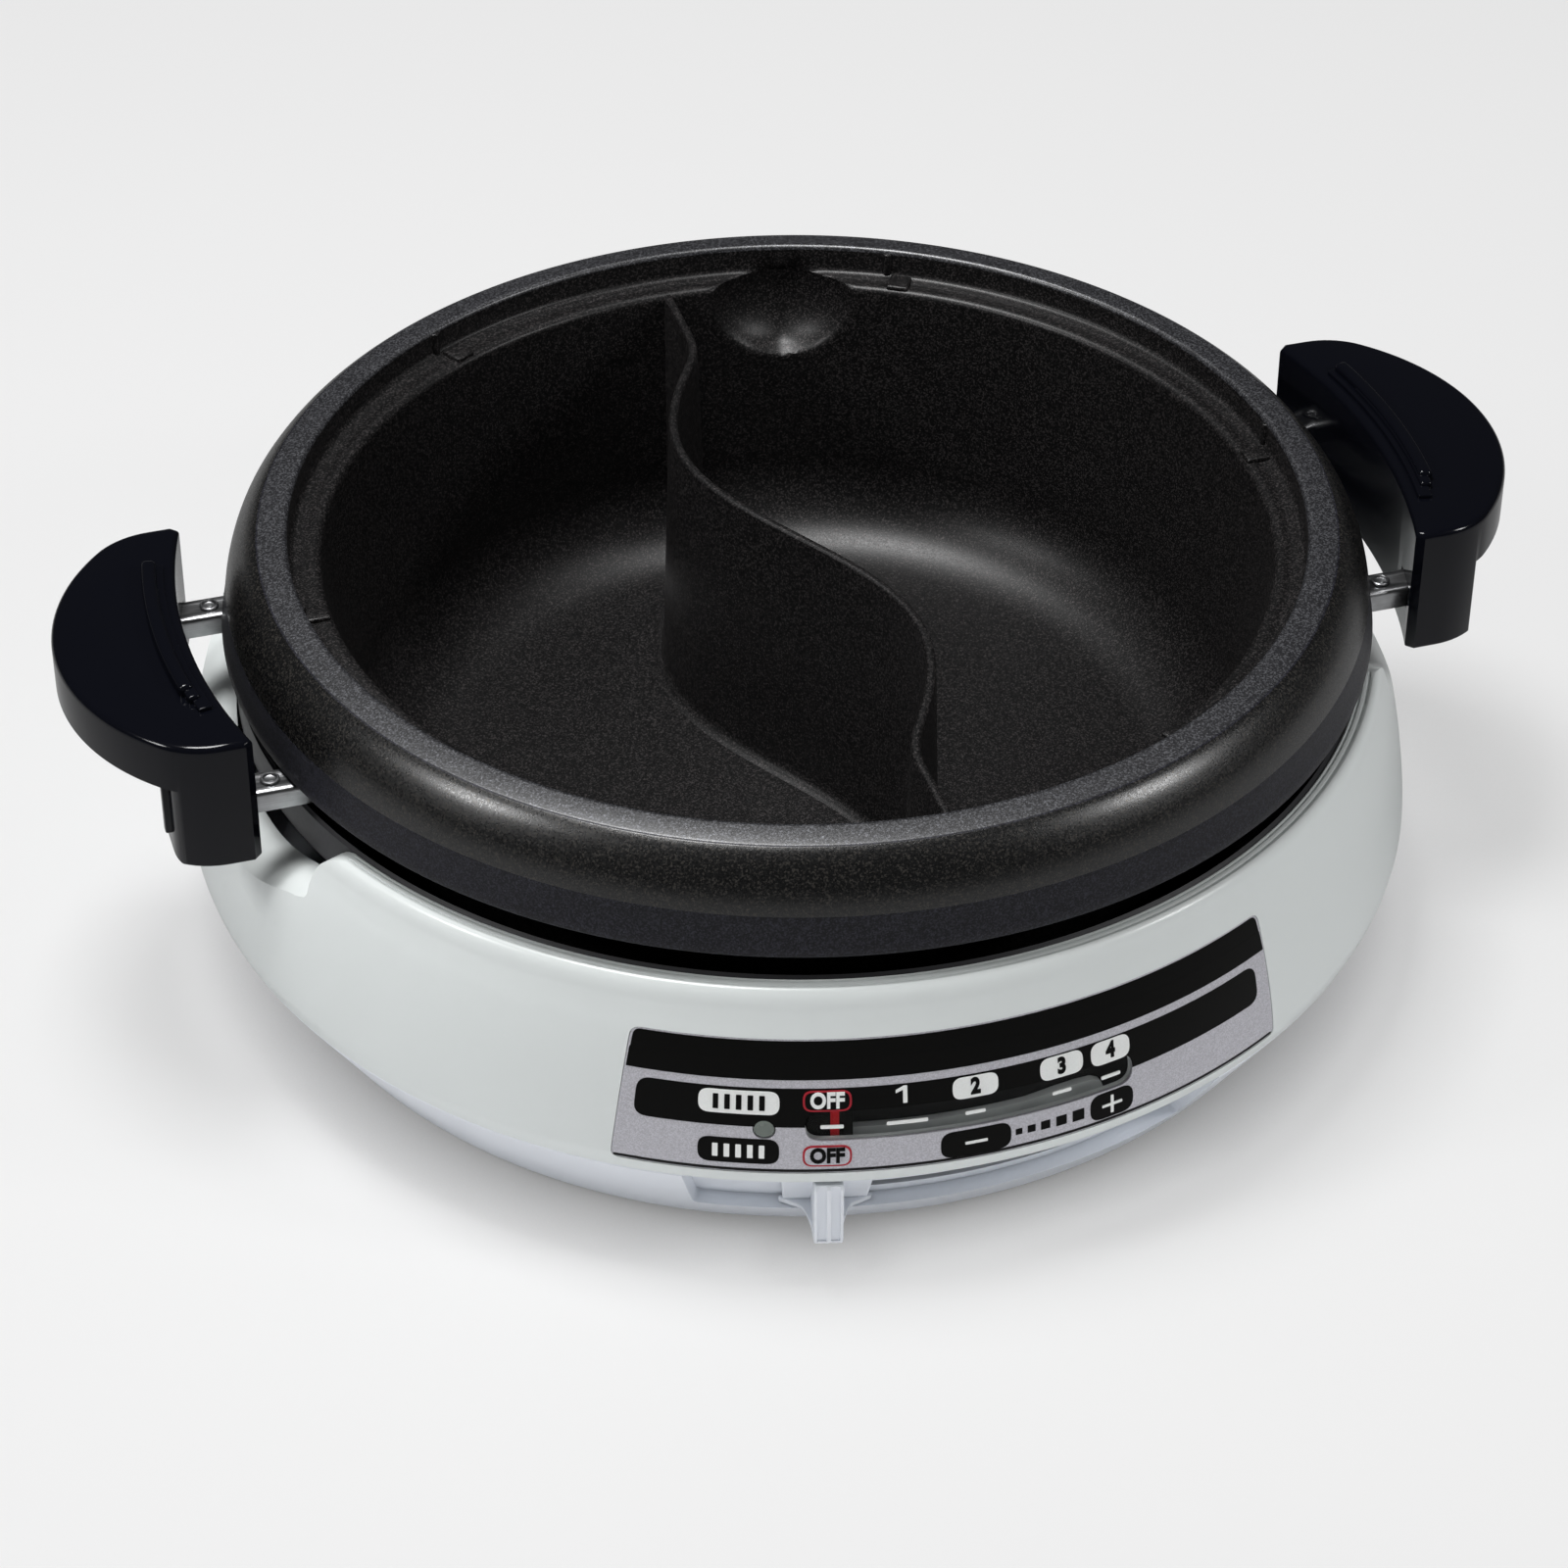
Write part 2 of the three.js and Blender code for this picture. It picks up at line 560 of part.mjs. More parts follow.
function handleHood() {
  const under = handleTop - handle.legDepth - overrun;
  const skirtEdge = handleTop - handle.skirtDepth;
  const underPlate = handleTop - handle.plate;
  const outside = handleRadius + handle.width + overrun;
  const legSide = handle.halfChord - handle.legWidth;
  const innerFace = handleRadius + handle.wall;
  const behind = handleRadius * Math.cos(Math.asin(handle.halfChord / handleRadius)) - overrun;
  const hood = new THREE.ExtrudeGeometry(crescent(0), {
    depth: handle.legDepth - 2 * handle.edge, bevelEnabled: true, bevelSize: handle.edge,
    bevelOffset: -handle.edge, bevelThickness: handle.edge, bevelSegments: 1, curveSegments: arcSteps,
  });
  let solid = toSolid(hood.translate(0, 0, handleTop - handle.legDepth + handle.edge));
  let hollow = prism(crescent(handle.wall), under, underPlate);
  const sides = [[legSide, handle.halfChord], [-handle.halfChord, -legSide]];
  for (const [low, high] of sides) {
    const leg = block(behind, legEnd(), low, high, under, handleTop);
    const room = block(behind, legEnd() - handle.wall, low + handle.wall, high - handle.wall, under,
      underPlate);
    hollow = hollow.subtract(leg.subtract(room));
  }
  solid = solid.subtract(hollow);
  const fingerAngle = Math.asin(legSide / innerFace);
  const fingers = new THREE.Shape();
  fingers.moveTo(innerFace * Math.cos(fingerAngle), -legSide);
  fingers.lineTo(outside, -legSide);
  fingers.lineTo(outside, legSide);
  fingers.lineTo(innerFace * Math.cos(fingerAngle), legSide);
  fingers.absarc(0, 0, innerFace, fingerAngle, -fingerAngle, true);
  fingers.closePath();
  solid = solid.subtract(prism(fingers, under, skirtEdge));
  const wide = handle.halfChord + overrun;
  solid = solid.subtract(block(legEnd(), outside, -wide, wide, under, skirtEdge));
  solid = solid.subtract(block(behind, legEnd() + overrun, -legSide, legSide, under,
    handleTop - handle.innerDepth));
  for (const end of [-1, 1]) {
    const y = end * armSpread;
    const half = arm.width / 2 + seat;
    solid = solid.subtract(block(behind, legFace() + overrun, y - half, y + half,
      armTop - arm.flange - seat, armTop + seat));
    const post = rod(handle.bossRadius, strapTop() + seat, underPlate + handle.plate / 2);
    const bore = rod(screw.shank + seat, strapTop() - seat, strapTop() + screw.length);
    solid = solid.add(placed(post, handleScrewAt(), y)).subtract(placed(bore, handleScrewAt(), y));
  }
  const ridgeSpan = { from: () => -rib.halfAngle, to: () => rib.halfAngle, across: ridgeSteps, up: 1 };
  const ridgeFrom = handleRadius + rib.inset;
  const ridge = slab({
    low: underPlate + handle.plate / 2, high: handleTop + rib.height, inner: () => ridgeFrom,
    outer: () => ridgeFrom + rib.width, ...ridgeSpan,
  });
  const step = slab({
    low: underPlate + handle.plate / 2, high: handleTop + rib.stepHeight,
    inner: () => ridgeFrom - rib.stepWidth, outer: () => ridgeFrom + rib.width / 2, ...ridgeSpan,
  });
  return solid.add(ridge).add(step);
}

// Shell

// Outer face from the belly up to the shoulder: how far in towards the shoulder, how far up
const shellShares = [
  [0, 0], [0.033, 0.108], [0.167, 0.325], [0.35, 0.54], [0.575, 0.74], [0.717, 0.84], [0.867, 0.94], [1, 1],
];

function shellOutline() {
  return shellShares.map(([inward, up]) => [
    bellyRadius - inward * shell.belly, bellyHeight + up * (shoulderHeight - bellyHeight),
  ]);
}

function shellRadius(z) {
  const outline = [[coverTopRadius, shellBottom], ...shellOutline()];
  for (let i = 1; i < outline.length; i++) {
    const [[lowRadius, lowHeight], [highRadius, highHeight]] = [outline[i - 1], outline[i]];
    if (z <= highHeight) {
      return lowRadius + (highRadius - lowRadius) * (z - lowHeight) / (highHeight - lowHeight);
    }
  }
  return shoulderRadius;
}

function shellWall() {
  const outline = shellOutline();
  const lining = outline.filter((point, i) => i % 2 === 1)
    .map(([radius, height]) => [radius - shell.wall, Math.min(height, lipHeight - 2 * shell.wall)]);
  return turned([
    [coverTopRadius, shellBottom], ...outline, [beadRadius, lipHeight],
    [beadRadius - shell.beadWidth / 2, lipHeight - shell.grooveDepth],
    [lipRadius + shell.lipWidth, lipHeight],
    [lipRadius, lipHeight], [lipRadius, lipHeight - shell.wall], ...lining.reverse(),
    [coverTopRadius - shell.wall, shellBottom],
  ]);
}

function panelFrom(z) {
  const up = (z - panelBottom) / panel.height;
  return panel.bottomFromAngle + (panel.topFromAngle - panel.bottomFromAngle) * up;
}

function panelTo(z) {
  const up = (z - panelBottom) / panel.height;
  return panel.bottomToAngle + (panel.topToAngle - panel.bottomToAngle) * up;
}

const windowHeight = panelBottom + scaleWindow.rise;
const lampHeight = panelBottom + lamp.rise;

// Slab on the shell's front, between two depths under its outer face
function frontSlab(low, high, from, to, deep, shallow, across, up) {
  return slab({
    low, high, from, to, across, up,
    inner: (z) => shellRadius(z) - deep, outer: (z) => shellRadius(z) - shallow,
  });
}

function widened(angle, gap, side) {
  return (z) => angle(z) + side * gap / bellyRadius / degree;
}

function windowCut(gap) {
  const half = scaleWindow.height / 2 + gap;
  return frontSlab(windowHeight - half, windowHeight + half, widened(() => scaleWindow.fromAngle, gap, -1),
    widened(() => scaleWindow.toAngle, gap, 1), shell.wall + overrun, -overrun, windowSteps, 2);
}

function lampHole() {
  return spoke(lamp.lensRadius + seat, lipRadius, bellyRadius + overrun, lamp.angle, lampHeight);
}

function inletFace() {
  return shellRadius(inletHeight()) - seat;
}

function inletHeight() {
  return parting + inlet.rise + inlet.height / 2;
}

function screwRing() {
  return coverBottomRadius - screw.ringInset;
}

function outerShell() {
  let solid = shellWall();
  const notchLow = lipHeight - notch.depth;
  const notchSide = (z) => {
    const belowCorner = Math.max(notchLow + notch.corner - z, 0);
    const lost = notch.corner - Math.sqrt(notch.corner ** 2 - belowCorner ** 2);
    return notch.halfAngle - lost / shoulderRadius / degree;
  };
  const notchCut = slab({
    low: notchLow, high: lipHeight + overrun, ...notchSteps, from: (z) => -notchSide(z), to: notchSide,
    inner: () => lipRadius - overrun, outer: () => bellyRadius + overrun,
  });
  solid = solid.subtract(notchCut).subtract(around(notchCut, 180));
  solid = solid.subtract(frontSlab(panelBottom - seat, panelTop + seat, widened(panelFrom, seat, -1),
    widened(panelTo, seat, 1), panel.sheet + seat, -overrun, frontSteps, 4));
  solid = solid.subtract(windowCut(0));
  solid = solid.subtract(lampHole());
  const half = inlet.width / 2 + seat;
  const inletLow = parting + inlet.rise;
  solid = solid.subtract(block(-half, half, bellyRadius - inlet.depth, bellyRadius + overrun,
    inletLow - seat, inletLow + inlet.height + seat));
  const bossFoot = coverFloor + seat;
  const bossTop = lipHeight - boss.belowLip;
  for (const azimuth of Object.values(quarters)) {
    const web = block(screwRing(), shellRadius(bossTop) - shell.wall / 2,
      -boss.webWall / 2, boss.webWall / 2, bossTop - boss.webHeight, bossTop);
    const post = placed(rod(boss.radius, bossFoot, bossTop), screwRing(), 0);
    const bore = placed(rod(screw.shank + seat, bossFoot - overrun, bossFoot + screw.length),
      screwRing(), 0);
    solid = solid.add(around(post.add(web), azimuth)).subtract(around(bore, azimuth));
  }
  return solid;
}

function controlPanel() {
  let solid = frontSlab(panelBottom, panelTop, panelFrom, panelTo, panel.sheet, 0, frontSteps, 4);
  solid = solid.subtract(windowCut(0));
  return solid.subtract(lampHole());
}

function windowLens() {
  const half = scaleWindow.height / 2 - seat;
  return frontSlab(windowHeight - half, windowHeight + half, widened(() => scaleWindow.fromAngle, seat, 1),
    widened(() => scaleWindow.toAngle, seat, -1), scaleWindow.lensSheet + seat, seat, windowSteps, 2);
}

function lampLens() {
  const face = shellRadius(lampHeight) + seat;
  return spoke(lamp.lensRadius, face - lamp.lensLength, face, lamp.angle, lampHeight);
}

function pilotLamp() {
  const front = shellRadius(lampHeight) - lamp.lensLength;
  return spoke(lamp.bulbRadius, front - lamp.bulbLength, front, lamp.angle, lampHeight);
}

// Lower casing

function bandRadius(z) {
  return coverBottomRadius + cover.tuck * (z - coverUnder) / cover.bandHeight;
}

function bottomCover() {
  const floorEdge = coverBottomRadius - cover.edgeRound;
  let solid = turned([
    [0, coverUnder], [floorEdge, coverUnder],
    [bandRadius(coverUnder + cover.edgeRound), coverUnder + cover.edgeRound],
    [bandRadius(parting), parting], [bandRadius(parting) - cover.bandWall, parting],
    [bandRadius(coverFloor) - cover.bandWall, coverFloor], [0, coverFloor],
  ]);
  const sill = coverUnder + recess.sill;
  const margin = cover.bandWall / bellyRadius / degree;
  const across = frontSteps;
  const backing = slab({
    low: sill - cover.wall, high: parting, across, up: 1,
    from: () => recess.fromAngle - margin, to: () => recess.toAngle + margin,
    inner: (z) => bandRadius(z) - recess.depth - cover.bandWall,
    outer: (z) => bandRadius(z) - cover.bandWall / 2,
  });
  const pocket = slab({
    low: sill, high: parting + overrun, across, up: 1,
    from: () => recess.fromAngle, to: () => recess.toAngle,
    inner: (z) => bandRadius(z) - recess.depth, outer: (z) => bandRadius(z) + overrun,
  });
  const slotSide = (lever.armWidth / 2 + running) / (bandRadius(armUnder) - recess.depth) / degree;
  const slot = slab({
    low: armUnder - running, high: armOver + running, from: () => lever.restAngle - slotSide,
    to: () => lever.restAngle + lever.sweepAngle + slotSide, across, up: 1,
    inner: (z) => bandRadius(z) - recess.depth - cover.bandWall - overrun, outer: (z) => bandRadius(z),
  });
  solid = solid.add(backing).subtract(pocket).subtract(slot);
  for (const azimuth of Object.values(quarters)) {
    const post = placed(rod(cover.postRadius, coverFloor - cover.wall / 2, reflectorUnder - seat),
      cover.postRing, 0);
    const hole = placed(rod(screw.shank + seat, coverUnder - overrun, coverFloor + overrun), screwRing(), 0);
    solid = solid.add(around(post, azimuth)).subtract(around(hole, azimuth));
  }
  for (let i = 0; i < cover.ventCount; i++) {
    const vent = block(cover.ventRing - cover.ventLength / 2, cover.ventRing + cover.ventLength / 2,
      -cover.ventWidth / 2, cover.ventWidth / 2, coverUnder - overrun, coverFloor + overrun);
    solid = solid.subtract(around(vent, 360 * (i + 0.5) / cover.ventCount));
  }
  return solid;
}

function coverScrew() {
  const headTop = coverUnder - seat;
  return turned([
    [0, headTop - screw.headHeight], [screw.headRadius, headTop - screw.headHeight],
    [screw.headRadius, headTop], [screw.shank, headTop], [screw.shank, headTop + screw.length],
    [0, headTop + screw.length],
  ], rodSides);
}

// Guard ring and reflector

function guardRing() {
  const outer = lipRadius - seat;
  const top = lipHeight - guard.lowered;
  const bend = top - guard.straight;
  const flangeUnder = reflectorUnder + reflector.wallHeight + seat;
  const flangeTop = flangeUnder + guard.sheet;
  const flangeOuter = reflectorRadius + guard.flange / 2;
  return turned([
    [flangeOuter, flangeUnder], [flangeOuter, flangeTop], [outer, bend], [outer, top],
    [outer - guard.sheet, top], [outer - guard.sheet, bend + guard.sheet / 2],
    [flangeOuter - guard.sheet, flangeTop + guard.sheet], [reflectorRadius - guard.flange / 2, flangeTop],
    [reflectorRadius - guard.flange / 2, flangeUnder],
  ]);
}

function reflectorDish() {
  const corner = reflectorRadius - reflector.cornerRun;
  const top = reflectorUnder + reflector.wallHeight;
  const flank = reflectorUnder + reflector.flankRise;
  const flankShares = { radius: 0.85, lowRadius: 0.5, lowRise: 0.3 };
  const outerFace = [
    [reflector.hole, reflectorUnder], [corner, reflectorUnder],
    [corner + flankShares.lowRadius * reflector.cornerRun,
      reflectorUnder + flankShares.lowRise * reflector.flankRise],
    [corner + flankShares.radius * reflector.cornerRun, flank], [reflectorRadius, top],
  ];
  const innerFace = outerFace.map(([radius, height], i) => {
    const rise = i < 3 ? reflector.sheet : 0;
    const inward = i > 1 ? reflector.sheet : 0;
    return [radius - inward, height + rise];
  });
  let solid = turned([...outerFace, ...innerFace.reverse()]);
  for (const side of [-1, 1]) {
    const hole = rod(heater.tubeRadius + running, reflectorUnder - overrun, reflectorFloor + overrun);
    solid = solid.subtract(placed(hole, side * heater.endSpread, heaterRing + heater.endRun));
  }
  return solid;
}

// Heater, thermostat and sensor

function heatingElement() {
  const endY = heaterRing + heater.endRun;
  const x = heater.endSpread;
  const bend = heater.bend;
  const elbow = arcPoints(endY - bend, heaterAxis - bend, bend, 0, 90, cornerSteps);
  const low = terminalTop() + seat;
  const leg = (side) => [[endY, low], [endY, (low + heaterAxis - bend) / 2], ...elbow]
    .map(([y, z]) => new THREE.Vector3(side * x, y, z));
  const gapAngle = Math.asin((x + bend / 2) / heaterRing);
  const turns = 16;
  const ring = Array.from({ length: turns + 1 }, (_, i) => {
    const azimuth = Math.PI / 2 + gapAngle + (2 * Math.PI - 2 * gapAngle) * i / turns;
    return new THREE.Vector3(heaterRing * Math.cos(azimuth), heaterRing * Math.sin(azimuth), heaterAxis);
  });
  const curve = new THREE.CatmullRomCurve3([...leg(-1), ...ring, ...leg(1).reverse()], false, 'centripetal');
  return tube(curve, heater.tubeRadius, 52);
}

function heaterSupport() {
  const bottom = reflectorFloor + seat;
  const saddle = heaterAxis - heater.tubeRadius - seat;
  const halfGap = heater.tubeRadius + seat;
  const half = halfGap + reflector.sheet;
  const outline = new THREE.Shape();
  outline.moveTo(-half, bottom);
  outline.lineTo(half, bottom);
  outline.lineTo(half, heaterAxis);
  outline.lineTo(halfGap, heaterAxis);
  outline.lineTo(halfGap, saddle);
  outline.lineTo(-halfGap, saddle);
  outline.lineTo(-halfGap, heaterAxis);
  outline.lineTo(-half, heaterAxis);
  outline.closePath();
  const width = 2 * heater.tubeRadius;
  const geometry = new THREE.ExtrudeGeometry(outline, { depth: width, bevelEnabled: false });
  return toSolid(geometry.translate(0, 0, -width / 2).rotateX(Math.PI / 2).translate(heaterRing, 0, 0));
}

function thermostatBracket() {
  return block(-bracket.length / 2, bracket.length / 2, -bracket.width / 2, bracket.width / 2,
    coverFloor + seat, coverFloor + seat + bracket.sheet);
}

function sleeveTop() {
  return thermostatTop + thermostat.sleeveHeight;
}

function thermostatBody() {
  const bottom = bracketTop + seat;
  const body = rod(thermostat.radius, bottom, thermostatTop, rodSides * 2);
  const sleeve = rod(thermostat.sleeveRadius, thermostatTop - overrun, sleeveTop());
  const bore = rod(thermostat.stemRadius + seat, stemBottom() - sensor.stroke - seat, sleeveTop() + overrun);
  return body.add(sleeve).subtract(bore);
}

function stemBottom() {
  return bracketTop + seat + thermostat.height / 2;
}

function sensorCap() {
  const top = panBottom - seat;
  const stem = thermostat.stemRadius;
  return turned([
    [0, stemBottom()], [stem, stemBottom()], [stem, top - sensor.sheet], [sensor.radius, top - sensor.sheet],
    [sensor.radius, top], [0, top],
  ], rodSides * 2);
}

function sensorSpring() {
  const low = sleeveTop() + seat + sensor.wire;
  const high = panBottom - seat - sensor.sheet - seat - sensor.wire;
  const points = [];
  const stepsPerTurn = 8;
  const steps = sensor.turns * stepsPerTurn;
  for (let i = 0; i <= steps; i++) {
    const angle = 2 * Math.PI * i / stepsPerTurn;
    points.push(new THREE.Vector3(
      sensor.coil * Math.cos(angle), sensor.coil * Math.sin(angle), low + (high - low) * i / steps));
  }
  return tube(new THREE.CatmullRomCurve3(points), sensor.wire, steps, wireSides);
}

// Lever and pointer, drawn along +X and turned to their azimuth

function leverPlateFace(z) {
  return bandRadius(z) - recess.depth + seat * 2 + lever.plateSheet;
}

function controlLever() {
  const low = armUnder - lever.plateBelow;
  const high = parting - lever.plateTop;
  const slope = Math.atan2(cover.tuck, cover.bandHeight);
  const rise = (high - low) / Math.cos(slope);
  const half = lever.plateWidth / 2;
  const tabHalf = lever.tabWidth / 2;
  const outline = new THREE.Shape();
  outline.moveTo(-half, lever.shoulder);
  outline.lineTo(-half, rise);
  outline.lineTo(half, rise);
  outline.lineTo(half, lever.shoulder);
  outline.quadraticCurveTo(tabHalf, lever.shoulder, tabHalf, 0);
  outline.lineTo(-tabHalf, 0);
  outline.quadraticCurveTo(-tabHalf, lever.shoulder, -half, lever.shoulder);
  outline.closePath();
  const plate = new THREE.ExtrudeGeometry(outline, {
    depth: lever.plateSheet, bevelEnabled: false, curveSegments: arcSteps - 1,
  });
  plate.rotateX(Math.PI / 2).rotateZ(Math.PI / 2);
  plate.rotateY(slope).translate(leverPlateFace(low) - lever.plateSheet, 0, low);
  const arm = block(0, bandRadius(armUnder) - recess.depth + 2 * lever.plateSheet, -lever.armWidth / 2,
    lever.armWidth / 2, armUnder, armOver);
  const hub = rod(lever.hubRadius, armUnder, armOver, rodSides * 2);
  const bore = rod(thermostat.sleeveRadius + running, armUnder - overrun, armOver + overrun, rodSides * 2);
  const tabOut = bellyRadius - seat / 2;
  const tabLow = coverUnder + recess.sill + running;
  const side = new THREE.Shape();
  side.moveTo(leverPlateFace(low) - lever.plateSheet / 2, low);
  side.lineTo(leverPlateFace(tabLow + lever.tabRound), tabLow);
  side.lineTo(tabOut - lever.tabRound, tabLow);
  side.lineTo(tabOut, tabLow + lever.tabRound);
  side.lineTo(tabOut, high + lever.tabReach);
  side.lineTo(leverPlateFace(high) - lever.plateSheet / 2, high);
  side.closePath();
  const tab = new THREE.ExtrudeGeometry(side, { depth: lever.tabWidth, bevelEnabled: false });
  tab.translate(0, 0, -lever.tabWidth / 2).rotateX(Math.PI / 2);
  return toSolid(plate).add(arm).add(toSolid(tab)).add(hub).subtract(bore);
}

function pointerPlate() {
  const foot = armOver + seat;
  const half = pointer.height / 2;
  const deep = scaleWindow.lensSheet + seat + pointer.behindLens;
  const side = pointer.width / 2 / bellyRadius / degree;
  const plate = frontSlab(windowHeight - half, windowHeight + half, () => -side, () => side,
    deep + pointer.sheet, deep, 3, 3);
  const stalkAt = reflectorRadius + pointer.stalkInset;
  const stalkHalf = pointer.stalkWidth / 2;
  const stalk = block(stalkAt, stalkAt + pointer.stalk, -stalkHalf, stalkHalf, foot,
    windowHeight + pointer.stalk / 2);
  const bridge = block(stalkAt, shellRadius(windowHeight) - deep - pointer.sheet / 2, -stalkHalf, stalkHalf,
    windowHeight - pointer.stalk / 2, windowHeight + pointer.stalk / 2);
  return plate.add(stalk).add(bridge);
}

// Inlet, terminals and leads

function plugReceptacle() {
  const front = inletFace();
  const back = front - inlet.depth;
  const low = parting + inlet.rise;
  const middle = inletHeight();
  const shellBlock = block(-inlet.width / 2, inlet.width / 2, back, front, low, low + inlet.height);
  const pocket = block(-inlet.pocketWidth / 2, inlet.pocketWidth / 2,
    front - inlet.pocketDepth, front + overrun,
    middle - inlet.pocketHeight / 2, middle + inlet.pocketHeight / 2);
  let solid = shellBlock.subtract(pocket);
  for (const side of [-1, 1]) {
    const hole = spoke(inlet.pinRadius + seat, back - overrun, front, 90, middle);
    solid = solid.subtract(placed(hole, side * inlet.pinSpread, 0));
  }
  return solid;
}

function inletPin(side) {
  const back = inletFace() - inlet.depth - inlet.pinTail;
  const pin = spoke(inlet.pinRadius, back, inletFace() - inlet.pinBare, 90, inletHeight());
  return placed(pin, side * inlet.pinSpread, 0);
}

function terminalTop() {
  return coverFloor + seat + terminal.height;
}

function terminalBack() {
  return heaterRing + heater.endRun + terminal.behindHeater;
}

function terminalBlock() {
  const back = terminalBack();
  return block(-terminal.width / 2, terminal.width / 2, back - terminal.depth, back,
    coverFloor + seat, terminalTop());
}

// Lead from an inlet pin down behind the reflector and in to the terminal block
function supplyLead(side) {
  const x = side * inlet.pinSpread;
  const top = inletHeight();
  const startY = inletFace() - inlet.depth - inlet.pinTail - seat;
  const downY = (startY + reflectorRadius) / 2;
  const low = coverFloor + terminal.height / 2;
  const at = (y, z) => new THREE.Vector3(x, y, z);
  const curve = new THREE.CatmullRomCurve3([
    at(startY, top), at(startY - lead.radius / 4, top), at(downY, top - lead.bend / 2),
    at(downY, top - lead.bend), at(downY, low + lead.bend),
    at(downY - lead.bend / 4, low + lead.bend / 4), at(downY - lead.bend, low),
    at(terminalBack() + seat, low),
  ], false, 'centripetal');
  return tube(curve, lead.radius, 18, wireSides);
}

// Lead from the terminal block in to the thermostat
function linkLead(side) {
  const x = side * inlet.pinSpread;
  const low = coverFloor + terminal.height / 2;
  const from = terminalBack() - terminal.depth - seat;
  const to = Math.sqrt(thermostat.radius ** 2 - (inlet.pinSpread - lead.radius) ** 2) + seat;
  return placed(toSolid(new THREE.CylinderGeometry(lead.radius, lead.radius, from - to, 8)
    .translate(0, (from + to) / 2, 0)), x, 0, low);
}

// Lead from the pilot lamp down and in to the thermostat, under the lever's arm
function lampLead() {
  const startAt = shellRadius(lampHeight) - lamp.lensLength - lamp.bulbLength - seat;
  const downAt = reflectorRadius + lead.radius + running;
  const low = (coverFloor + armUnder) / 2;
  const at = (radius, z) => new THREE.Vector3(radius, 0, z);
  const curve = new THREE.CatmullRomCurve3([
    at(startAt, lampHeight), at(startAt - lead.bend / 3, lampHeight), at(downAt, lampHeight - lead.bend),
    at(downAt, low + lead.bend), at(downAt - lead.bend / 3, low + lead.bend / 3),
    at(downAt - lead.bend, low), at(thermostat.radius + seat, low),
  ], false, 'centripetal');
  return tube(curve, lead.radius, 22, wireSides);
}

// Assembly

const pot = new THREE.Group();

function add(parent, name, solid, material, azimuth = 0, x = 0, y = 0) {
  const mesh = new THREE.Mesh(toGeometry(solid), material);
  mesh.name = name;
  mesh.position.set(x, y, 0);
  mesh.rotation.z = azimuth * degree;
  parent.add(mesh);
}

function addPan() {
  add(pot, 'divided_pan', dividedPan(), materials.castPan);
  for (const [sideName, turn] of [['right', 0], ['left', 180]]) {
    const side = new THREE.Group();
    side.rotation.z = turn * degree;
    pot.add(side);
    add(side, `handle_${sideName}`, handleHood(), materials.phenolic);
    for (const end of [-1, 1]) {
      const front = (end < 0) === (turn === 0);
      const place = `${sideName}_${front ? 'front' : 'rear'}`;
      const y = end * armSpread;
      add(side, `bracket_arm_${place}`, bracketArm(), materials.stainless, 0, 0, y);
      add(side, `pan_rivet_${place}`, panRivet(), materials.stainless, 0, panRivetAt(), y);
      add(side, `frame_rivet_${place}`, frameRivet(), materials.stainless, 0, frameRivetAt(), y);
      add(side, `handle_strap_${place}`, handleStrap(), materials.stainless, 0, 0, y);
      add(side, `handle_screw_${place}`, handleScrew(), materials.stainless, 0, handleScrewAt(), y);
    }
  }
}

function addCasing() {
  add(pot, 'outer_shell', outerShell(), materials.white);
  add(pot, 'bottom_cover', bottomCover(), materials.lowerWhite);
  add(pot, 'control_panel', controlPanel(), materials.panelBlack);
  add(pot, 'window_lens', windowLens(), materials.clearLens);
  add(pot, 'lamp_lens', lampLens(), materials.lampLens);
  add(pot, 'pilot_lamp', pilotLamp(), materials.ceramic);
  for (const [place, azimuth] of Object.entries(quarters)) {
    const ring = (radius) => [radius * Math.cos(azimuth * degree), radius * Math.sin(azimuth * degree)];
    add(pot, `foot_${place}`, rod(foot.radius, 0, foot.height, rodSides * 2), materials.rubber, 0,
      ...ring(coverBottomRadius - foot.ringInset));
    add(pot, `cover_screw_${place}`, coverScrew(), materials.stainless, 0, ...ring(screwRing()));
  }
}

function addHeating() {
  add(pot, 'guard_ring', guardRing(), materials.stainless);
  add(pot, 'reflector_dish', reflectorDish(), materials.polished);
  add(pot, 'heating_element', heatingElement(), materials.sheath);
  for (const [place, azimuth] of [['front', -90], ['right', 30], ['left', 150]]) {
    add(pot, `heater_support_${place}`, heaterSupport(), materials.stainless, azimuth);
  }
  add(pot, 'thermostat_bracket', thermostatBracket(), materials.stainless);
  add(pot, 'thermostat_body', thermostatBody(), materials.ceramic);
  add(pot, 'sensor_cap', sensorCap(), materials.polished);
  add(pot, 'sensor_spring', sensorSpring(), materials.stainless);
}

function addControls() {
  add(pot, 'control_lever', controlLever(), materials.lowerWhite, lever.restAngle);
  add(pot, 'pointer_plate', pointerPlate(), materials.pointerBlack, lever.restAngle);
}

function addWiring() {
  add(pot, 'plug_receptacle', plugReceptacle(), materials.blackMoulding);
  add(pot, 'terminal_block', terminalBlock(), materials.ceramic);
  for (const [place, side] of [['right', 1], ['left', -1]]) {
    add(pot, `inlet_pin_${place}`, inletPin(side), materials.brass);
    add(pot, `supply_lead_${place}`, supplyLead(side), materials.wireCover);
    add(pot, `link_lead_${place}`, linkLead(side), materials.wireCover);
  }
  add(pot, 'lamp_lead', lampLead(), materials.wireCover, lamp.angle);
}

addPan();
addCasing();
addHeating();
addControls();
addWiring();

export default pot;
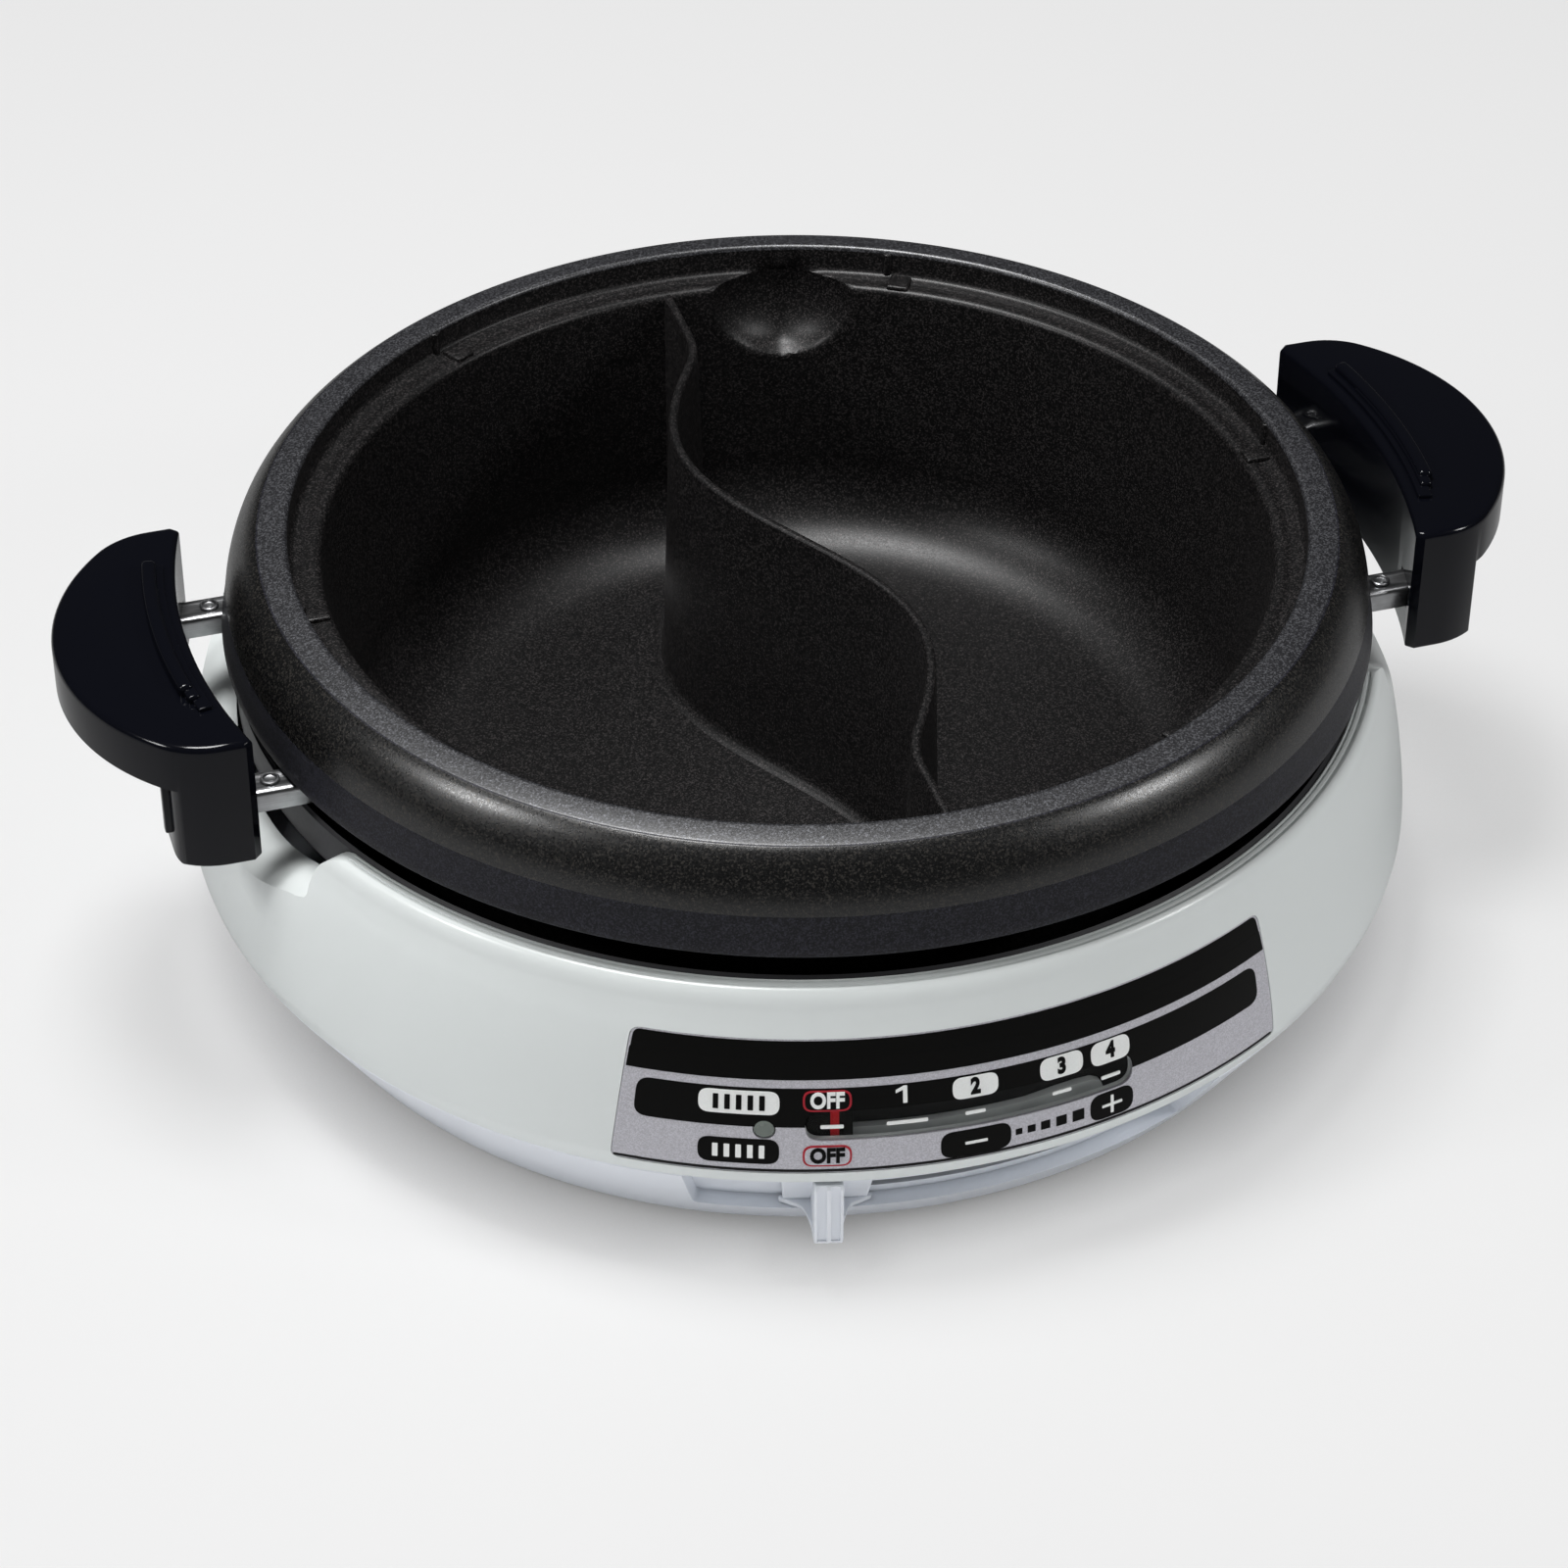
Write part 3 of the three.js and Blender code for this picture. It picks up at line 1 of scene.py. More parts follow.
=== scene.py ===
"""Looks of the divided electric hot pot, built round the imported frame.

Pieces are modelled in millimetres, with +Z up and the control panel towards -Y, and each is
brought to metres when it is finished.
"""

from __future__ import annotations

import logging
import math
from contextlib import contextmanager
from dataclasses import dataclass, field
from enum import Enum
from typing import Any, Callable, Iterator, Sequence

import bmesh
import bpy
from mathutils import Matrix, Vector


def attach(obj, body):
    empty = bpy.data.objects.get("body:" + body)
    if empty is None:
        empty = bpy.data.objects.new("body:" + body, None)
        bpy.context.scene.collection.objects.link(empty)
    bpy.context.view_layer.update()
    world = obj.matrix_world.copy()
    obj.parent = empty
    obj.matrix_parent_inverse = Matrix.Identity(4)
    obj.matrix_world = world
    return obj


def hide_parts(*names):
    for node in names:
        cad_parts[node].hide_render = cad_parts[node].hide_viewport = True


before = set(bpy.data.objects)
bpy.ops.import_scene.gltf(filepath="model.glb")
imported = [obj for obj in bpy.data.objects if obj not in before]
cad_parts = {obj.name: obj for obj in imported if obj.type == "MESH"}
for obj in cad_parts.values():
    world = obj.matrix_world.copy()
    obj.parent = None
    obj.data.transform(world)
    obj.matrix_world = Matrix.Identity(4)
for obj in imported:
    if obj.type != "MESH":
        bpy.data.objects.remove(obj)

Point = tuple[float, float]
Place = Callable[[Vector], Vector]

MILLIMETRE = 0.001
MERGE = 0.002
TURN_STEPS = 360
FINE_STEPS = 480
SMALL_STEPS = 48

logging.basicConfig(level=logging.INFO, format="%(message)s")
log = logging.getLogger("hot_pot")


class Body(Enum):
    """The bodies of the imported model."""

    BASE = "base"
    PAN = "pan"
    LEVER = "lever"
    SENSOR = "sensor"


# Lines and curves


def arc(centre: Point, radius: float, start: float, end: float, steps: int) -> list[Point]:
    """Points of an arc.

    Args:
        centre: Middle of the arc.
        radius: Its radius.
        start: First angle in degrees.
        end: Last angle in degrees.
        steps: Number of stretches.

    Returns:
        The points, both ends included.
    """
    angles = [math.radians(start + (end - start) * i / steps) for i in range(steps + 1)]
    return [(centre[0] + radius * math.cos(a), centre[1] + radius * math.sin(a)) for a in angles]


def flowing(points: Sequence[Point], steps: int) -> list[Point]:
    """Draws one smooth line through points.

    Args:
        points: Points that the line passes.
        steps: Stretches between two points.

    Returns:
        The finer line, both ends included.
    """
    ends = [points[0], *points, points[-1]]
    line: list[Point] = []
    for a, b, c, d in zip(ends, ends[1:], ends[2:], ends[3:]):
        for i in range(steps):
            t = i / steps
            weights = (
                (-t + 2 * t**2 - t**3) / 2,
                (2 - 5 * t**2 + 3 * t**3) / 2,
                (t + 4 * t**2 - 3 * t**3) / 2,
                (t**3 - t**2) / 2,
            )
            line.append(tuple(sum(w * p[k] for w, p in zip(weights, (a, b, c, d))) for k in (0, 1)))
    return [*line, points[-1]]


def bend(start: Sequence[float], corner: Sequence[float], end: Sequence[float], steps: int) -> list[Point]:
    """Draws a soft bend round a corner.

    Args:
        start: First point.
        corner: The corner that the bend is drawn towards.
        end: Last point.
        steps: Number of stretches.

    Returns:
        The points, both ends included.
    """
    shares = [i / steps for i in range(steps + 1)]
    return [
        tuple(a * (1 - t) ** 2 + b * 2 * t * (1 - t) + c * t**2 for a, b, c in zip(start, corner, end))
        for t in shares
    ]


def rounded_outline(corners: Sequence[Point], radius: float, steps: int = 6) -> list[Point]:
    """Rounds the corners of a flat outline.

    Args:
        corners: Corners in order.
        radius: Radius of the corners, about.
        steps: Stretches in each corner.

    Returns:
        The outline's points.
    """
    outline: list[Point] = []
    count = len(corners)
    for i, corner in enumerate(corners):
        here = Vector(corner)
        before = Vector(corners[i - 1]) - here
        after = Vector(corners[(i + 1) % count]) - here
        start = here + before.normalized() * min(radius, before.length / 2)
        end = here + after.normalized() * min(radius, after.length / 2)
        outline.extend(bend(start, here, end, steps))
    return outline


def polar(radius: float, azimuth: float) -> Point:
    """A point at a radius and an azimuth in degrees."""
    return radius * math.cos(math.radians(azimuth)), radius * math.sin(math.radians(azimuth))


# Modelling


def alone(thing: bpy.types.Object) -> None:
    """Selects one object and nothing else, and makes it the active one."""
    bpy.ops.object.select_all(action="DESELECT")
    thing.select_set(True)
    bpy.context.view_layer.objects.active = thing


@contextmanager
def editing(thing: bpy.types.Object) -> Iterator[None]:
    """Opens an object in edit mode, and leaves edit mode at the end."""
    alone(thing)
    bpy.ops.object.mode_set(mode="EDIT")
    bpy.ops.mesh.select_mode(type="VERT")
    bpy.ops.mesh.select_all(action="SELECT")
    yield
    bpy.ops.object.mode_set(mode="OBJECT")


def pick_edges(thing: bpy.types.Object, wanted: Callable[[Any], bool]) -> int:
    """Selects edges in edit mode by a test.

    Args:
        thing: The object in edit mode.
        wanted: Test of one edge.

    Returns:
        How many edges passed.
    """
    bpy.ops.mesh.select_mode(type="EDGE")
    bpy.ops.mesh.select_all(action="DESELECT")
    mesh = bmesh.from_edit_mesh(thing.data)
    found = [edge for edge in mesh.edges if wanted(edge)]
    for edge in found:
        edge.select_set(True)
    bmesh.update_edit_mesh(thing.data)
    return len(found)


class Piece:
    """One piece on the bench, in millimetres until it is finished."""

    def __init__(self, thing: bpy.types.Object, name: str) -> None:
        """Takes a new object and names it."""
        self.thing = thing
        thing.name = name
        thing.data.name = name

    @classmethod
    def drawn(cls, name: str, points: Sequence[Sequence[float]]) -> Piece:
        """Draws a chain of edges by extruding one vertex from point to point.

        Args:
            name: Name of the piece.
            points: The points in space.

        Returns:
            The new piece.
        """
        spots = [Vector(p) for p in points]
        bpy.ops.mesh.primitive_plane_add(size=1, location=spots[0])
        piece = cls(bpy.context.active_object, name)
        with editing(piece.thing):
            bpy.ops.mesh.merge(type="CENTER")
            for here, there in zip(spots, spots[1:]):
                bpy.ops.mesh.extrude_region_move(TRANSFORM_OT_translate={"value": there - here})
        piece.placed()
        return piece

    @classmethod
    def turned(cls, name: str, profile: Sequence[Point], steps: int = TURN_STEPS) -> Piece:
        """Spins a closed profile about the Z axis.

        Args:
            name: Name of the piece.
            profile: Radius and height of each point, in order round the section.
            steps: Steps of the full turn.

        Returns:
            The new piece.
        """
        on_axis = profile[0][0] == 0 and profile[-1][0] == 0
        line = list(profile) if on_axis else [*profile, profile[0]]
        piece = cls.drawn(name, [(r, 0, z) for r, z in line])
        with editing(piece.thing):
            bpy.ops.mesh.remove_doubles(threshold=MERGE)
            bpy.ops.mesh.select_all(action="SELECT")
            bpy.ops.mesh.spin(steps=steps, angle=2 * math.pi, center=(0, 0, 0), axis=(0, 0, 1))
        piece.cleaned()
        return piece

    @classmethod
    def prism(cls, name: str, outline: Sequence[Point], low: float, high: float) -> Piece:
        """Fills a flat outline and extrudes it upwards.

        Args:
            name: Name of the piece.
            outline: Corners in X and Y.
            low: Height of its underside.
            high: Height of its top.

        Returns:
            The new piece.
        """
        piece = cls.drawn(name, [(x, y, low) for x, y in outline])
        with editing(piece.thing):
            bpy.ops.mesh.edge_face_add()
            bpy.ops.mesh.extrude_region_move(TRANSFORM_OT_translate={"value": (0, 0, high - low)})
        piece.cleaned()
        return piece

    @classmethod
    def plate(cls, name: str, outline: Sequence[Point], back: float, front: float) -> Piece:
        """Fills an upright outline and extrudes it along Y.

        Args:
            name: Name of the piece.
            outline: Corners in X and Z.
            back: Y of its first face.
            front: Y of its other face.

        Returns:
            The new piece.
        """
        piece = cls.drawn(name, [(x, back, z) for x, z in outline])
        with editing(piece.thing):
            bpy.ops.mesh.edge_face_add()
            bpy.ops.mesh.extrude_region_move(TRANSFORM_OT_translate={"value": (0, front - back, 0)})
        piece.cleaned()
        return piece

    @classmethod
    def box(cls, name: str, low: Sequence[float], high: Sequence[float]) -> Piece:
        """Adds a cube at its size and place, given by two corners."""
        middle = [(a + b) / 2 for a, b in zip(low, high)]
        bpy.ops.mesh.primitive_cube_add(size=1, location=middle)
        bpy.context.active_object.scale = [b - a for a, b in zip(low, high)]
        piece = cls(bpy.context.active_object, name)
        piece.placed()
        return piece

    @classmethod
    def rod(cls, name: str, radius: float, low: float, high: float, at: Point = (0, 0)) -> Piece:
        """Adds an upright cylinder at its size and place."""
        bpy.ops.mesh.primitive_cylinder_add(
            vertices=SMALL_STEPS, radius=radius, depth=high - low, location=(*at, (low + high) / 2)
        )
        piece = cls(bpy.context.active_object, name)
        piece.placed()
        return piece

    @classmethod
    def swept(
        cls, name: str, path: Sequence[Sequence[float]], radius: float, section: Sequence[Point] = ()
    ) -> Piece:
        """Sweeps a round or a drawn section along a path.

        Args:
            name: Name of the piece.
            path: Points of the path.
            radius: Radius of a round section.
            section: Points of another section, sideways and up.

        Returns:
            The new piece.
        """
        line = cls.drawn(name, path)
        alone(line.thing)
        bpy.ops.object.convert(target="CURVE")
        curve = bpy.context.active_object
        curve.data.dimensions = "3D"
        curve.data.twist_mode = "Z_UP" if section else "MINIMUM"
        curve.data.use_fill_caps = True
        guide = None
        if section:
            guide = cls.drawn(f"{name}_section", [(x, y, 0) for x, y in section]).thing
            alone(guide)
            bpy.ops.object.convert(target="CURVE")
            guide = bpy.context.active_object
            guide.data.dimensions = "2D"
            guide.data.fill_mode = "NONE"
            guide.data.splines[0].use_cyclic_u = True
            curve.data.bevel_mode = "OBJECT"
            curve.data.bevel_object = guide
        else:
            curve.data.bevel_depth = radius
            curve.data.bevel_resolution = 6
        alone(curve)
        bpy.ops.object.convert(target="MESH")
        piece = cls(bpy.context.active_object, name)
        if guide:
            bpy.data.objects.remove(guide)
        piece.placed()
        piece.cleaned()
        return piece

    def placed(self) -> Piece:
        """Puts the object's place, turn and size into its mesh."""
        alone(self.thing)
        bpy.ops.object.transform_apply(location=True, rotation=True, scale=True)
        return self

    def cleaned(self) -> Piece:
        """Merges doubled vertices and turns all faces outwards."""
        with editing(self.thing):
            bpy.ops.mesh.remove_doubles(threshold=MERGE)
            bpy.ops.mesh.select_all(action="SELECT")
            bpy.ops.mesh.normals_make_consistent(inside=False)
        return self

    def _combined(self, other: Piece, operation: str) -> Piece:
        """Joins or cuts with a boolean modifier, and takes the other piece away."""
        tool = self.thing.modifiers.new("combine", "BOOLEAN")
        tool.operation = operation
        tool.solver = "EXACT"
        tool.object = other.thing
        alone(self.thing)
        bpy.ops.object.modifier_apply(modifier=tool.name)
        bpy.data.objects.remove(other.thing)
        return self

    def cut(self, *tools: Piece) -> Piece:
        """Cuts other pieces out of this one."""
        for tool in tools:
            self._combined(tool, "DIFFERENCE")
        return self

    def united(self, *others: Piece) -> Piece:
        """Fuses other pieces with this one."""
        for other in others:
            self._combined(other, "UNION")
        return self

    def kept_in(self, other: Piece) -> Piece:
        """Keeps only what lies inside another piece."""
        return self._combined(other, "INTERSECT")

    def with_loose(self, *others: Piece) -> Piece:
        """Takes other closed bodies into the same mesh."""
        alone(self.thing)
        for other in others:
            other.thing.select_set(True)
        bpy.ops.object.join()
        return self

    def bevelled(self, width: float, segments: int = 3, angle: float = 35) -> Piece:
        """Rounds the edges sharper than an angle with a bevel modifier."""
        tool = self.thing.modifiers.new("bevel", "BEVEL")
        tool.width = width
        tool.segments = segments
        tool.limit_method = "ANGLE"
        tool.angle_limit = math.radians(angle)
        tool.use_clamp_overlap = True
        alone(self.thing)
        bpy.ops.object.modifier_apply(modifier=tool.name)
        return self

    def edge_bevelled(self, wanted: Callable[[Any], bool], width: float, segments: int = 4) -> Piece:
        """Rounds chosen edges in edit mode.

        Args:
            wanted: Test of one edge.
            width: Width of the round.
            segments: Faces across it.

        Returns:
            This piece.
        """
        with editing(self.thing):
            if pick_edges(self.thing, wanted):
                bpy.ops.mesh.bevel(offset=width, segments=segments, affect="EDGES")
        return self

    def sliced(self, axis: int, spacing: float) -> Piece:
        """Cuts faces into strips across an axis, so that they can follow a curve."""
        span = [v.co[axis] for v in self.thing.data.vertices]
        low, high = min(span), max(span)
        normal = Vector((0, 0, 0))
        normal[axis] = 1
        with editing(self.thing):
            at = math.floor(low / spacing + 1) * spacing
            while at < high - MERGE:
                bpy.ops.mesh.select_all(action="SELECT")
                bpy.ops.mesh.bisect(plane_co=normal * at, plane_no=normal)
                at += spacing
        return self

    def mapped(self, place: Place) -> Piece:
        """Moves every vertex to where a function puts it."""
        for vertex in self.thing.data.vertices:
            vertex.co = place(vertex.co)
        self.thing.data.update()
        return self

    def copied(self, name: str) -> Piece:
        """Copies the piece, with its own mesh."""
        alone(self.thing)
        bpy.ops.object.duplicate(linked=False)
        return Piece(bpy.context.active_object, name)

    def turned_by(self, degrees: float) -> Piece:
        """Turns the piece about the Z axis."""
        self.thing.rotation_euler.z = math.radians(degrees)
        return self.placed()

    def moved(self, x: float = 0, y: float = 0, z: float = 0) -> Piece:
        """Moves the piece."""
        self.thing.location = (x, y, z)
        return self.placed()

    def mirrored(self, axis: int) -> Piece:
        """Mirrors the piece across an axis and turns its faces outwards again."""
        self.thing.scale[axis] = -1
        self.placed()
        with editing(self.thing):
            bpy.ops.mesh.normals_make_consistent(inside=False)
        return self

    def finished(
        self, finish: Finish, body: Body, slot: str, replaces: Sequence[str] = (), angle: float = 32
    ) -> bpy.types.Object:
        """Brings the piece to metres, smooths it, dresses it and puts it on its body.

        Args:
            finish: Its finish.
            body: The body that it rides on.
            slot: Not used.
            replaces: CAD nodes that it stands for.
            angle: Edges sharper than this stay sharp.

        Returns:
            The finished object.
        """
        self.thing.scale = (MILLIMETRE,) * 3
        self.placed()
        bpy.ops.object.shade_smooth_by_angle(angle=math.radians(angle))
        self.thing.data.materials.clear()
        self.thing.data.materials.append(finish.material())
        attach(self.thing, body.value)
        if replaces:
            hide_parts(*replaces)
        log.info("%s: %d faces on %s", self.thing.name, len(self.thing.data.polygons), body.value)
        return self.thing


# Finishes


def shade(red: float, green: float, blue: float) -> tuple[float, float, float, float]:
    """A colour from its 8-bit display values, as the shader takes it."""
    linear = [
        ((v / 255 + 0.055) / 1.055) ** 2.4 if v > 10.31 else v / 255 / 12.92
        for v in (red, green, blue)
    ]
    return (*linear, 1.0)


class Graph:
    """The nodes of one material."""

    def __init__(self, name: str) -> None:
        """Starts a material with one shader."""
        self.made = bpy.data.materials.new(name)
        self.made.use_nodes = True
        self.tree = self.made.node_tree
        self.shader = self.tree.nodes["Principled BSDF"]
        self.output = self.tree.nodes["Material Output"]

    def node(self, kind: str, inputs: dict[str | int, Any] | None = None, **settings: Any) -> Any:
        """Adds a node.

        Args:
            kind: Blender's name of the node type.
            inputs: Values or sockets for its inputs.
            settings: Its other settings.

        Returns:
            The node.
        """
        made = self.tree.nodes.new(kind)
        for key, value in settings.items():
            setattr(made, key, value)
        for key, value in (inputs or {}).items():
            self.feed(made.inputs[key], value)
        return made

    def feed(self, socket: Any, value: Any) -> None:
        """Sets an input, or links it."""
        if isinstance(value, bpy.types.NodeSocket):
            self.tree.links.new(value, socket)
        else:
            socket.default_value = value

    def place(self, scale: float | tuple[float, float, float] = 1.0) -> Any:
        """Object coordinates in metres, scaled."""
        where = self.node("ShaderNodeTexCoord").outputs["Object"]
        if scale == 1.0:
            return where
        factors = (scale,) * 3 if isinstance(scale, float) else scale
        return self.node("ShaderNodeMapping", {"Vector": where, "Scale": factors}).outputs["Vector"]

    def noise(self, scale: float, detail: float = 3.0, stretch: Any = 1.0) -> Any:
        """Soft noise from 0 to 1."""
        made = self.node(
            "ShaderNodeTexNoise", {"Vector": self.place(stretch), "Scale": scale, "Detail": detail}
        )
        return made.outputs["Fac"]

    def flakes(self, scale: float) -> Any:
        """Cells with one random value each, as paint flakes."""
        made = self.node("ShaderNodeTexVoronoi", {"Vector": self.place(), "Scale": scale})
        return self.node("ShaderNodeSeparateColor", {"Color": made.outputs["Color"]}).outputs["Red"]

    def ranged(self, value: Any, low: float, high: float, start: float, end: float) -> Any:
        """Maps a value from one range to another."""
        made = self.node(
            "ShaderNodeMapRange", {"Value": value, 1: low, 2: high, 3: start, 4: end}, clamp=True
        )
        return made.outputs["Result"]

    def mixed(self, share: Any, first: Any, second: Any) -> Any:
        """Mixes two colours."""
        made = self.node("ShaderNodeMix", {"Factor": share}, data_type="RGBA")
        self.feed(made.inputs[6], first)
        self.feed(made.inputs[7], second)
        return made.outputs[2]

    def mixed_value(self, share: Any, low: Any) -> Any:
        """A number from low up to one as the share goes from 0.1 to 0.9."""
        made = self.node("ShaderNodeMapRange", {
            "Value": share, "From Min": 0.1, "From Max": 0.9, "To Min": low, "To Max": 1.0,
        })
        return made.outputs[0]

    def sum(self, first: Any, second: Any, kind: str = "ADD") -> Any:
        """Combines two numbers."""
        return self.node("ShaderNodeMath", {0: first, 1: second}, operation=kind).outputs[0]

    def bump(self, height: Any, strength: float, distance: float) -> Any:
        """A bump from a height."""
        made = self.node(
            "ShaderNodeBump", {"Height": height, "Strength": strength, "Distance": distance}
        )
        return made.outputs["Normal"]

    def wear(self, **sockets: Any) -> None:
        """Feeds the shader's inputs, named with underscores for spaces."""
        for key, value in sockets.items():
            self.feed(self.shader.inputs[key.replace("_", " ")], value)


@dataclass(frozen=True)
class Finish:
    """A finish with its own material."""

    name: str

    def material(self) -> bpy.types.Material:
        """The finish's material, made once."""
        known = bpy.data.materials.get(self.name)
        return known or self.mix()

    def mix(self) -> bpy.types.Material:
        """Makes the material."""
        raise NotImplementedError


@dataclass(frozen=True)
class Coating(Finish):
    """Speckled non-stick coating: a dark ground with fine metal flakes."""

    ground: tuple[float, float, float] = (17, 16, 16)
    flake: tuple[float, float, float] = (60, 56, 52)
    roughness: float = 0.4
    metal: float = 0.0
    gloss: float = 0.3
    flakes_from: float = 0.55
    grain: float = 0.12

    def mix(self) -> bpy.types.Material:
        """Makes the material."""
        graph = Graph(self.name)
        cells = graph.flakes(2300.0)
        fine = graph.noise(1500.0, 3.0)
        spots = graph.ranged(graph.sum(cells, fine, "MULTIPLY"), self.flakes_from * 0.35, 0.7, 0.0, 1.0)
        broad = graph.ranged(graph.noise(14.0), 0.3, 0.7, 0.0, 0.35)
        ground = graph.mixed(broad, shade(*self.ground), shade(*[v * 1.25 for v in self.ground]))
        colour = graph.mixed(spots, ground, shade(*self.flake))
        roughness = graph.ranged(fine, 0.3, 0.7, self.roughness - 0.06, self.roughness + 0.06)
        normal = graph.bump(graph.sum(cells, fine), self.grain, 0.00012)
        graph.wear(
            Base_Color=colour, Roughness=roughness, Metallic=graph.ranged(spots, 0.0, 1.0, 0.0, self.metal),
            Specular_IOR_Level=self.gloss, Normal=normal,
        )
        return graph.made


@dataclass(frozen=True)
class Moulded(Finish):
    """Moulded plastic: an even colour, slight clouding and a faint moulding texture."""

    colour: tuple[float, float, float] = (200, 204, 200)
    roughness: float = 0.32
    gloss: float = 0.5
    coat: float = 0.0
    grain: float = 0.03
    grain_scale: float = 900.0
    clouding: float = 0.02

    def mix(self) -> bpy.types.Material:
        """Makes the material."""
        graph = Graph(self.name)
        clouds = graph.ranged(graph.noise(9.0), 0.3, 0.7, 0.0, 1.0)
        low = [v * (1 - self.clouding) for v in self.colour]
        high = [min(v * (1 + self.clouding), 255) for v in self.colour]
        fine = graph.noise(self.grain_scale, 2.0)
        roughness = graph.ranged(fine, 0.3, 0.7, self.roughness * 0.95, self.roughness * 1.05)
        graph.wear(
            Base_Color=graph.mixed(clouds, shade(*low), shade(*high)), Roughness=roughness,
            Specular_IOR_Level=self.gloss, Coat_Weight=self.coat, Coat_Roughness=0.06,
            Normal=graph.bump(fine, self.grain, 0.00005),
        )
        return graph.made


@dataclass(frozen=True)
class Metal(Finish):
    """Worked metal: fine drawn lines or a polished sheet with faint marks."""

    colour: tuple[float, float, float] = (196, 197, 199)
    roughness: float = 0.28
    lines: tuple[float, float, float] = (60.0, 2200.0, 2200.0)
    spread: float = 0.1
    depth: float = 0.08

    def mix(self) -> bpy.types.Material:
        """Makes the material."""
        graph = Graph(self.name)
        drawn = graph.noise(1.0, 3.0, self.lines)
        marks = graph.noise(240.0, 4.0)
        tone = graph.ranged(graph.sum(drawn, marks, "MULTIPLY"), 0.1, 0.45, 0.0, 1.0)
        dark = [v * 0.86 for v in self.colour]
        graph.wear(
            Base_Color=graph.mixed(tone, shade(*dark), shade(*self.colour)),
            Roughness=graph.ranged(drawn, 0.3, 0.7, self.roughness, self.roughness + self.spread),
            Metallic=1.0,
            Normal=graph.bump(drawn, self.depth, 0.00004),
        )
        return graph.made


@dataclass(frozen=True)
class Clear(Finish):
    """Clear or frosted plastic: a thin tint over what lies behind."""

    colour: tuple[float, float, float] = (26, 27, 26)
    roughness: float = 0.08
    cover: float = 0.15
    gloss: float = 0.35

    def mix(self) -> bpy.types.Material:
        """Makes the material."""
        graph = Graph(self.name)
        haze = graph.noise(120.0)
        graph.wear(
            Base_Color=shade(*self.colour), Alpha=self.cover, Specular_IOR_Level=self.gloss,
            Roughness=graph.ranged(haze, 0.3, 0.7, self.roughness, self.roughness + 0.05),
            Normal=graph.bump(haze, 0.02, 0.00005),
        )
        return graph.made


@dataclass(frozen=True)
class Print(Finish):
    """Screen-printed ink or a lacquered plate, with a fine sparkle."""

    colour: tuple[float, float, float] = (20, 20, 22)
    sparkle: float = 0.0
    roughness: float = 0.3
    metal: float = 0.0
    gloss: float = 0.5

    def mix(self) -> bpy.types.Material:
        """Makes the material."""
        graph = Graph(self.name)
        grains = graph.ranged(graph.flakes(3200.0), 0.2, 0.9, 0.0, 1.0)
        dark = [v * (1 - self.sparkle) for v in self.colour]
        light = [min(v * (1 + self.sparkle), 255) for v in self.colour]
        fine = graph.noise(1400.0, 2.0)
        graph.wear(
            Base_Color=graph.mixed(grains, shade(*dark), shade(*light)), Metallic=self.metal,
            Specular_IOR_Level=self.gloss,
            Roughness=graph.ranged(fine, 0.3, 0.7, self.roughness, self.roughness + 0.1),
            Normal=graph.bump(fine, 0.02, 0.00004),
        )
        return graph.made


# Darkened copy of the coating for the pan's inside, divider and locators: painted shade.
PAN_INSIDE_SHADED = Coating("pan_inside_coating_painted_shade", (11, 10.5, 11), (84, 80, 80), 0.4, 0.7, 0.4, 0.85)
# Lighter, glossier copy of the inside coating for the upward rim: painted light.
PAN_RIM_PAINTED_LIGHT = Coating("pan_rim_coating_painted_light", (26, 26, 29), (128, 129, 134), 0.37, 0.9, 1.0, 0.75, 0.14)
PAN_FLARE = Coating("pan_flare_coating", (9, 9, 9.5), (100, 96, 91), 0.3, 1.0, 0.95, 1.0, 0.16)
PAN_SKIRT = Coating("pan_skirt_coating", (19, 19, 24), (62, 62, 72), 0.48, 0.3, 0.3, 0.5, 0.1)
# The faint blue in the handles' black is a painted reflection tint.
HANDLE_PAINTED_BLUE_SHEEN = Moulded("handle_phenolic_painted_blue_sheen", (9, 10, 16), 0.12, 0.3, 0.0, 0.01, 500.0, 0.05)
SHELL = Moulded("shell_plastic", (226, 231, 230), 0.3, 0.5, 0.1, 0.012, 900.0, 0.004)
# Bluish white of the lower casing and lever, its own tint, lifted above the upper casing's white as painted
# light for the bounce from the floor.
COVER_PAINTED_BOUNCE = Moulded("cover_plastic_painted_bounce", (238, 242, 248), 0.36, 0.45, 0.0, 0.02, 900.0, 0.004)
STEEL = Metal("drawn_stainless")
GUARD = Moulded("guard_coating", (54, 54, 57), 0.5, 0.4, 0.0, 0.05, 700.0, 0.04)
POLISHED = Metal("polished_dish", (210, 211, 212), 0.12, (300.0, 300.0, 300.0), 0.08, 0.03)
SHEATH = Metal("heater_sheath", (92, 88, 82), 0.5, (500.0, 500.0, 500.0), 0.15, 0.3)
CERAMIC = Moulded("ceramic_body", (226, 220, 206), 0.6, 0.3, 0.0, 0.2, 700.0, 0.03)
BRASS = Metal("pin_metal", (196, 164, 92), 0.25)
WIRE = Moulded("wire_sleeve", (150, 52, 44), 0.6, 0.3, 0.0, 0.2, 1200.0, 0.06)
RUBBER = Moulded("foot_rubber_grip", (34, 34, 35), 0.8, 0.25, 0.0, 0.3, 800.0, 0.06)
MOULDING = Moulded("inlet_moulding", (24, 24, 25), 0.45, 0.4, 0.0, 0.1, 700.0, 0.05)
PANEL_SILVER = Print("panel_silver_lacquer", (200, 199, 206), 0.06, 0.34, 0.25)
PANEL_BLACK = Print("panel_black_ink", (10, 10, 9), 0.1, 0.3, 0.0, 0.1)
